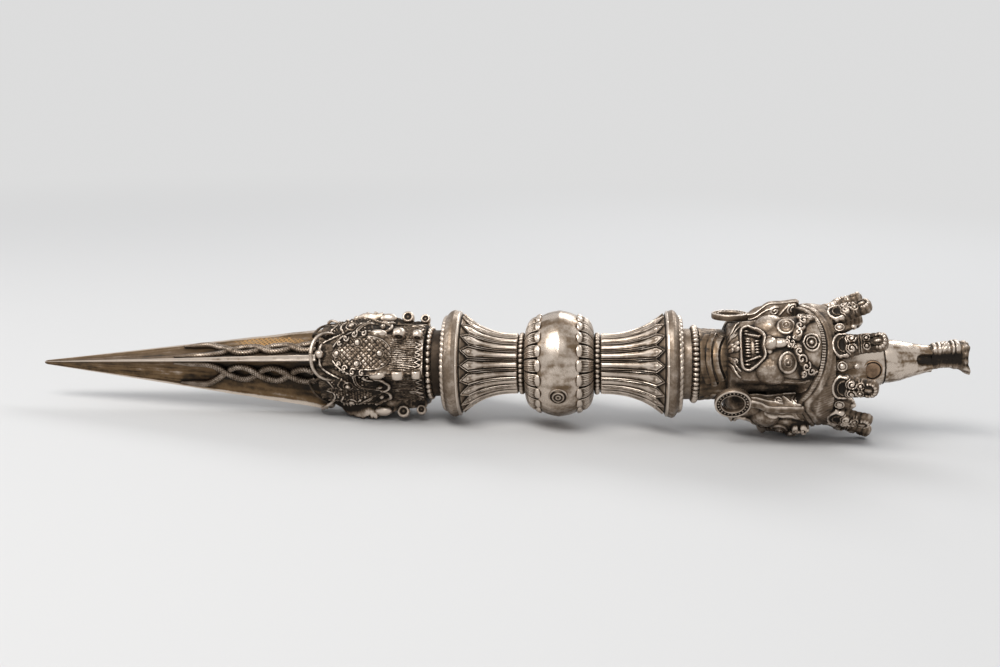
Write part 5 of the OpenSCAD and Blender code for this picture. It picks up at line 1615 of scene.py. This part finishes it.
class PHURBA_OT_crown(bpy.types.Operator):
    """Make the crown of nine skulls with jewels between them"""
    bl_idname = "phurba.crown"
    bl_label = "Crown"

    def execute(self, context):
        tall, short = [skull_place(skull_form(length)) for length in (16.4, 13.6)]
        pair = [short.turned(40), short.turned(80)]
        for forms, name, node in ((tall, "tall_skull_crown", "tall_skulls"),
                                  (pair, "short_skull_crown", "short_skulls")):
            bent_by_hand(repeated(forms, 3, name, node, matrix=LAY_HEAD))
        jewel = [f.turned(20) for f in jewel_forms()]
        repeated(jewel, 9, "crown_plaques", "crown_jewels", matrix=LAY_HEAD)
        return {"FINISHED"}


# Topknot and finial

def seated(form):
    """Leans a form over the crown's seat and cuts off its foot there."""
    points = placed_by(LEAN, form.points)
    points[:, 2] = np.maximum(points[:, 2], PLACE["crown"])
    return form.at(points)


def topknot_form():
    """The topknot's rounded body; its foot reaches below the seat, where it is cut off."""
    length = PLACE["neck"] - PLACE["crown"]
    s = np.concatenate([[-0.05], np.linspace(0, 1, 69)])
    a = np.radians(90 * np.maximum(s, 0))
    foot, top = 9.6, 7.3
    base = top + (foot - top) * np.cos(a) * (1 + 0.12 * np.sin(2 * a))
    base = base - 0.30 * bell(s - 0.985, 0.014)
    angle = all_round(200)
    size = len(s), len(angle)
    radius = base[:, None] + cast_grain(size, 5, 0.035, 71, True)
    wear_and_shade = np.interp(s, [0, 0.3, 0.55, 0.8, 0.965, 0.985], [0.35, 0.55, 0.74, 0.86, 0.80, 0.1])[:, None]
    wear_and_shade = np.clip(wear_and_shade + streaks(size, 10, 74) * 0.06, 0, 1)
    return shell(on_axis(angle[None], radius, (s * length)[:, None]), 3.0, wear_and_shade, True).placed("crown")


def neck_form():
    """The drawn out neck with a round-ended recess before the finial, darkened with painted shade."""
    length = PLACE["finial"] - PLACE["neck"]
    s = np.linspace(0, 1, 90)
    foot, tip = 6.9, 4.2
    base = tip + (foot - tip) * np.cos(np.radians(90 * s)) ** 1.5
    angle = all_round(200)
    v, a = np.meshgrid(s * length, angle, indexing="ij")
    work = Chasing((a - 20.0) * math.radians(1) * 4.3, v)
    pit = work.inside([(-1.7, length - 3.6), (-1.1, length - 4.8), (0.2, length - 5.3), (1.3, length - 4.7),
                       (2.1, length - 3.2), (2.5, length - 1.4), (2.7, length + 1), (-2.2, length + 1)])
    cut = soft(pit, -0.15, 0.6)
    radius = base[:, None] - 1.5 * cut + cast_grain(v.shape, 4, 0.04, 72, True)
    # Painted shade: the recess is darkened through its cut mask
    wear_and_shade = 0.76 - 0.55 * cut + streaks(v.shape, 22, 75) * 0.07 - 0.14 * soft(v, length - 6, length)
    wear_and_shade = wear_and_shade + cast_grain(v.shape, 4, 0.09, 76, True) + cast_grain(v.shape, 1, 0.05, 77, True)
    return shell(on_axis(a, radius, v), 2.2, np.clip(wear_and_shade, 0, 1), True).placed("neck")


def finial_form():
    """The blunt flared end: a ribbed crest above, a hollow towards one side, darkened with painted shade, a
    pointed lip below.
    """
    length = PLACE["end"] - PLACE["finial"]
    rows, cols = 150, 200
    s = np.linspace(0, 1, rows)
    angle = np.linspace(-180, 180, cols, endpoint=False)
    v, a = np.meshgrid(s * length, angle, indexing="ij")
    up = np.exp(-((a + 62) / 60) ** 4)
    side = np.exp(-((a - 32) / 40) ** 4)
    low = np.exp(-((a - 105) / 34) ** 4)

    def along(places, values):
        return np.interp(s, places, values)[:, None]

    radius = along([0, 0.12, 0.5, 0.75, 0.9, 1], [4.2, 3.9, 3.7, 4.0, 4.6, 4.3])
    radius = radius + up * along([0, 0.03, 0.12, 0.4, 0.66, 0.86, 1], [0.1, 0.1, 0.8, 1.2, 1.35, 0.5, 0.0])
    radius = radius - side * along([0, 0.05, 0.2, 0.62, 0.8, 1], [1.4, 1.5, 1.6, 1.5, 0.4, 0.0])
    radius = radius + low * along([0, 0.5, 0.72, 0.9, 1], [-0.6, -0.6, -0.2, 0.5, 1.4])
    rib = np.zeros_like(radius)
    for at, wide, high in ((0.055, 0.050, 0.30), (0.185, 0.040, 0.34), (0.535, 0.038, 0.42),
                           (0.655, 0.068, 0.5)):
        away = (s[:, None] - (at + 0.04 * np.cos(np.radians(a + 62)))) / wide
        rib = np.maximum(rib, dome(away ** 2) * high * (0.3 + 0.7 * up))
    block = up * soft(s, 0.25, 0.29)[:, None] * (1 - soft(s, 0.46, 0.50))[:, None]
    rib = np.maximum(rib, block * (0.14 + 0.16 * np.abs(np.sin(np.radians(a) * 9 + s[:, None] * 30))))
    fluting = 0.14 * np.sin(np.radians(a * 11)) * soft(s, 0.78, 0.86)[:, None]
    radius = radius + rib + fluting + rough_cast(radius.shape, 0.04, 73, True)
    # Painted shade: the hollow towards one side is darkened
    wear_and_shade = worn_from(radius, 0.11, True, 0.4, 0.50) - 0.30 * side * (1 - soft(s, 0.66, 0.85))[:, None]
    wear_and_shade = np.clip(wear_and_shade + 0.25 * (rib > 0.25) * up, 0, 1)
    points = on_axis(a, radius, v - 1.0 * side * soft(s, 0.7, 1.0)[:, None])
    cap = []
    for k in (0.75, 0.45, 0.15):
        ring = points[-1].copy()
        ring[:, :2] *= k
        ring[:, 2] -= 0.9 * (1 - k)
        cap.append(ring)
    rings = np.concatenate([points, np.array(cap)])
    wear_and_shade = np.concatenate([wear_and_shade, np.full((3, cols), 0.4)])
    body = loft(rings, wear_and_shade).placed("finial")
    bump = ellipsoid((0.8, 1.0, 1.0), 10, 14, 0.7).moved((4.4, 0, length - 1.1)).turned(-75)
    spigot = tube([[0, 0, -5], [0, 0, 1]], 1.9, 24, 0.3)
    return [body] + [f.placed("finial") for f in (bump, spigot)]


def medallion_form():
    """A round plaque in a dark groove, facing +x at the origin."""
    outline = [(-0.2, 3.15), (0.72, 3.15), (0.98, 3.02), (1.0, 2.85), (0.72, 2.66), (0.72, 2.5), (0.98, 2.3),
               (1.1, 1.6), (1.16, 0.4)]
    return turned_about_x(outline, [0.2, 0.35, 0.6, 0.5, 0.02, 0.05, 0.5, 0.42, 0.38], 60)


class PHURBA_OT_topknot(bpy.types.Operator):
    """Make the topknot with its medallions, its neck and the finial"""
    bl_idname = "phurba.topknot"
    bl_label = "Topknot and finial"

    def execute(self, context):
        smooth = polished_silver()
        piece(seated(topknot_form()), "smooth_topknot", "topknot", material=smooth, matrix=LAY_HEAD)
        piece(neck_form(), "drawn_neck", "topknot_neck", material=smooth, matrix=LAY_LEAN)
        piece(finial_form(), "ribbed_finial", "finial", matrix=LAY_LEAN)
        place = PLACE["crown"] + (PLACE["neck"] - PLACE["crown"]) * 0.74
        medal = medallion_form().moved((7.65, 0, place)).turned(36)
        repeated(medal, 3, "topknot_medals", "medallions", material=gilt_bronze(), slot="gilt_bronze",
                 matrix=LAY_LEAN)
        return {"FINISHED"}


class PHURBA_OT_carried(bpy.types.Operator):
    """Give the solids that stay as they are their finish"""
    bl_idname = "phurba.carried"
    bl_label = "Domes, collar and cores"

    def execute(self, context):
        finishes = {"lower_dome": plain_silver(), "upper_dome": plain_silver(), "collar": plain_silver(),
                    "guard_neck": dark_bronze(), "guard_core": dark_bronze(), "head_core": dark_bronze(),
                    "core_rod": rod_iron()}
        for node, material in finishes.items():
            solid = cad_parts[node]
            solid.data.materials.clear()
            solid.data.materials.append(material)
        return {"FINISHED"}


def seen_ray(tree):
    """1 for what the camera, a glossy surface or a clear one sees, 0 for light that falls on the dagger."""
    ray = tree.add("ShaderNodeLightPath").outputs
    seen = tree.calc("MAXIMUM", ray["Is Camera Ray"], ray["Is Glossy Ray"])
    return tree.calc("MAXIMUM", seen, ray["Is Transmission Ray"])


def make_floor(stage):
    """A wide pale floor, which fades into the background away from the dagger."""
    made = bpy.data.meshes.new("floor")
    corners = [(x * FLOOR_REACH, y * FLOOR_REACH, 0) for x, y in ((-1, -1), (1, -1), (1, 1), (-1, 1))]
    made.from_pydata(corners, [], [(0, 1, 2, 3)])
    floor = bpy.data.objects.new("floor", made)
    bpy.context.scene.collection.objects.link(floor)
    paint = bpy.data.materials.new("pale_floor")
    paint.use_nodes = True
    made.materials.append(paint)
    tree = Tree(paint.node_tree)
    shader = paint.node_tree.nodes["Principled BSDF"]
    tree.put(shader.inputs["Base Color"], (*stage.floor, 1))
    tree.put(shader.inputs["Roughness"], 0.85)
    glow = tree.add("ShaderNodeEmission", {"Color": (*stage.backdrop, 1)})
    away = tree.vector("LENGTH", tree.add("ShaderNodeTexCoord").outputs["Object"])["Value"]
    share = tree.calc("MULTIPLY", tree.ranged(away, 0.22, 0.75), seen_ray(tree))
    tree.put(paint.node_tree.nodes["Material Output"].inputs["Surface"],
             tree.mixed_shader(share, shader, glow))


def make_world(stage):
    """Soft light from all around, and the pale background that the camera sees."""
    world = bpy.data.worlds.new("studio")
    bpy.context.scene.world = world
    world.use_nodes = True
    tree = Tree(world.node_tree)
    back = world.node_tree.nodes["Background"]
    tree.put(back.inputs["Color"], (0.80, 0.83, 0.88, 1))
    tree.put(back.inputs["Strength"], 0.42)
    seen = tree.add("ShaderNodeBackground", {"Color": (*stage.backdrop, 1), "Strength": 1.0})
    tree.put(world.node_tree.nodes["World Output"].inputs["Surface"],
             tree.mixed_shader(seen_ray(tree), back, seen))


def make_lamp(name, place, target, size, watts, color):
    light = bpy.data.lights.new(name, "AREA")
    light.shape = "RECTANGLE"
    light.size, light.size_y = size
    light.energy = watts
    light.color = color
    made = bpy.data.objects.new(name, light)
    made.location = place
    made.rotation_euler = (Vector(target) - Vector(place)).to_track_quat("-Z", "Y").to_euler()
    bpy.context.scene.collection.objects.link(made)


def make_camera(stage):
    """The camera at the photo's place and angle."""
    lens = bpy.data.cameras.new("camera")
    lens.sensor_width = 36
    lens.lens = stage.lens
    lens.clip_start, lens.clip_end = 0.01, 50
    camera = bpy.data.objects.new("camera", lens)
    foot = LAY.inverted() @ Vector((stage.camera_x, 0, 0))
    axis_z = (LAY @ Vector((0, 0, foot.z))).z
    e, d = stage.camera_height, stage.camera_distance
    camera.location = (stage.camera_x, -d * math.cos(e), axis_z + d * math.sin(e))
    y, p, r = stage.camera_yaw, stage.camera_pitch, stage.camera_roll
    ahead = Vector((-math.sin(y) * math.cos(p), math.cos(y) * math.cos(p), -math.sin(p)))
    level = Vector((math.cos(y), math.sin(y), 0))
    high = level.cross(ahead)
    right = math.cos(r) * level + math.sin(r) * high
    up = -math.sin(r) * level + math.cos(r) * high
    camera.rotation_euler = Matrix((right, up, -ahead)).transposed().to_euler()
    bpy.context.scene.collection.objects.link(camera)
    bpy.context.scene.camera = camera


class PHURBA_OT_stage(bpy.types.Operator):
    """Set the floor, the light and the camera"""
    bl_idname = "phurba.stage"
    bl_label = "Stage"

    def execute(self, context):
        stage = context.scene.phurba_stage
        make_floor(stage)
        make_world(stage)
        for name, place, target, size, share, color in (
                ("softbox_key", (-0.20, -0.35, 0.75), (0.02, 0, 0.02), (0.55, 0.35), 1.0, (1, 0.985, 0.96)),
                ("softbox_back", (0.35, 0.65, 0.55), (0, 0, 0.02), (0.8, 0.25), 0.7, (0.97, 0.985, 1)),
                ("softbox_side", (-0.8, 0.05, 0.35), (-0.05, 0, 0.02), (0.3, 0.5), 0.35, (1, 1, 1))):
            make_lamp(name, place, target, size, stage.lamp * share, color)
        make_camera(stage)
        context.scene.view_settings.view_transform = "Standard"
        return {"FINISHED"}


class PHURBA_PT_panel(bpy.types.Panel):
    """Steps and settings of the phurba"""
    bl_idname = "PHURBA_PT_panel"
    bl_label = "Phurba"
    bl_space_type = "VIEW_3D"
    bl_region_type = "UI"
    bl_category = "Phurba"

    def draw(self, context):
        for step in STEPS:
            self.layout.operator(step.bl_idname)
        for group in ("phurba_form", "phurba_finish", "phurba_stage"):
            values = getattr(context.scene, group)
            box = self.layout.box()
            for name in values.__annotations__:
                box.prop(values, name)


STEPS = (PHURBA_OT_stage, PHURBA_OT_carried, PHURBA_OT_blade, PHURBA_OT_serpents, PHURBA_OT_guard,
         PHURBA_OT_bead_rings, PHURBA_OT_rope_rings, PHURBA_OT_grip, PHURBA_OT_throat, PHURBA_OT_faces,
         PHURBA_OT_ears, PHURBA_OT_crown, PHURBA_OT_topknot)
CLASSES = (PhurbaForm, PhurbaFinish, PhurbaStage, *STEPS, PHURBA_PT_panel)


def register():
    for item in CLASSES:
        bpy.utils.register_class(item)
    bpy.types.Scene.phurba_form = PointerProperty(type=PhurbaForm)
    bpy.types.Scene.phurba_finish = PointerProperty(type=PhurbaFinish)
    bpy.types.Scene.phurba_stage = PointerProperty(type=PhurbaStage)


def unregister():
    for name in ("phurba_form", "phurba_finish", "phurba_stage"):
        delattr(bpy.types.Scene, name)
    for item in reversed(CLASSES):
        bpy.utils.unregister_class(item)


def main():
    register()
    for step in STEPS:
        group, name = step.bl_idname.split(".")
        result = getattr(getattr(bpy.ops, group), name)()
        if result != {"FINISHED"}:
            raise RuntimeError(step.bl_label + " didn't finish")


if __name__ == "__main__":
    main()
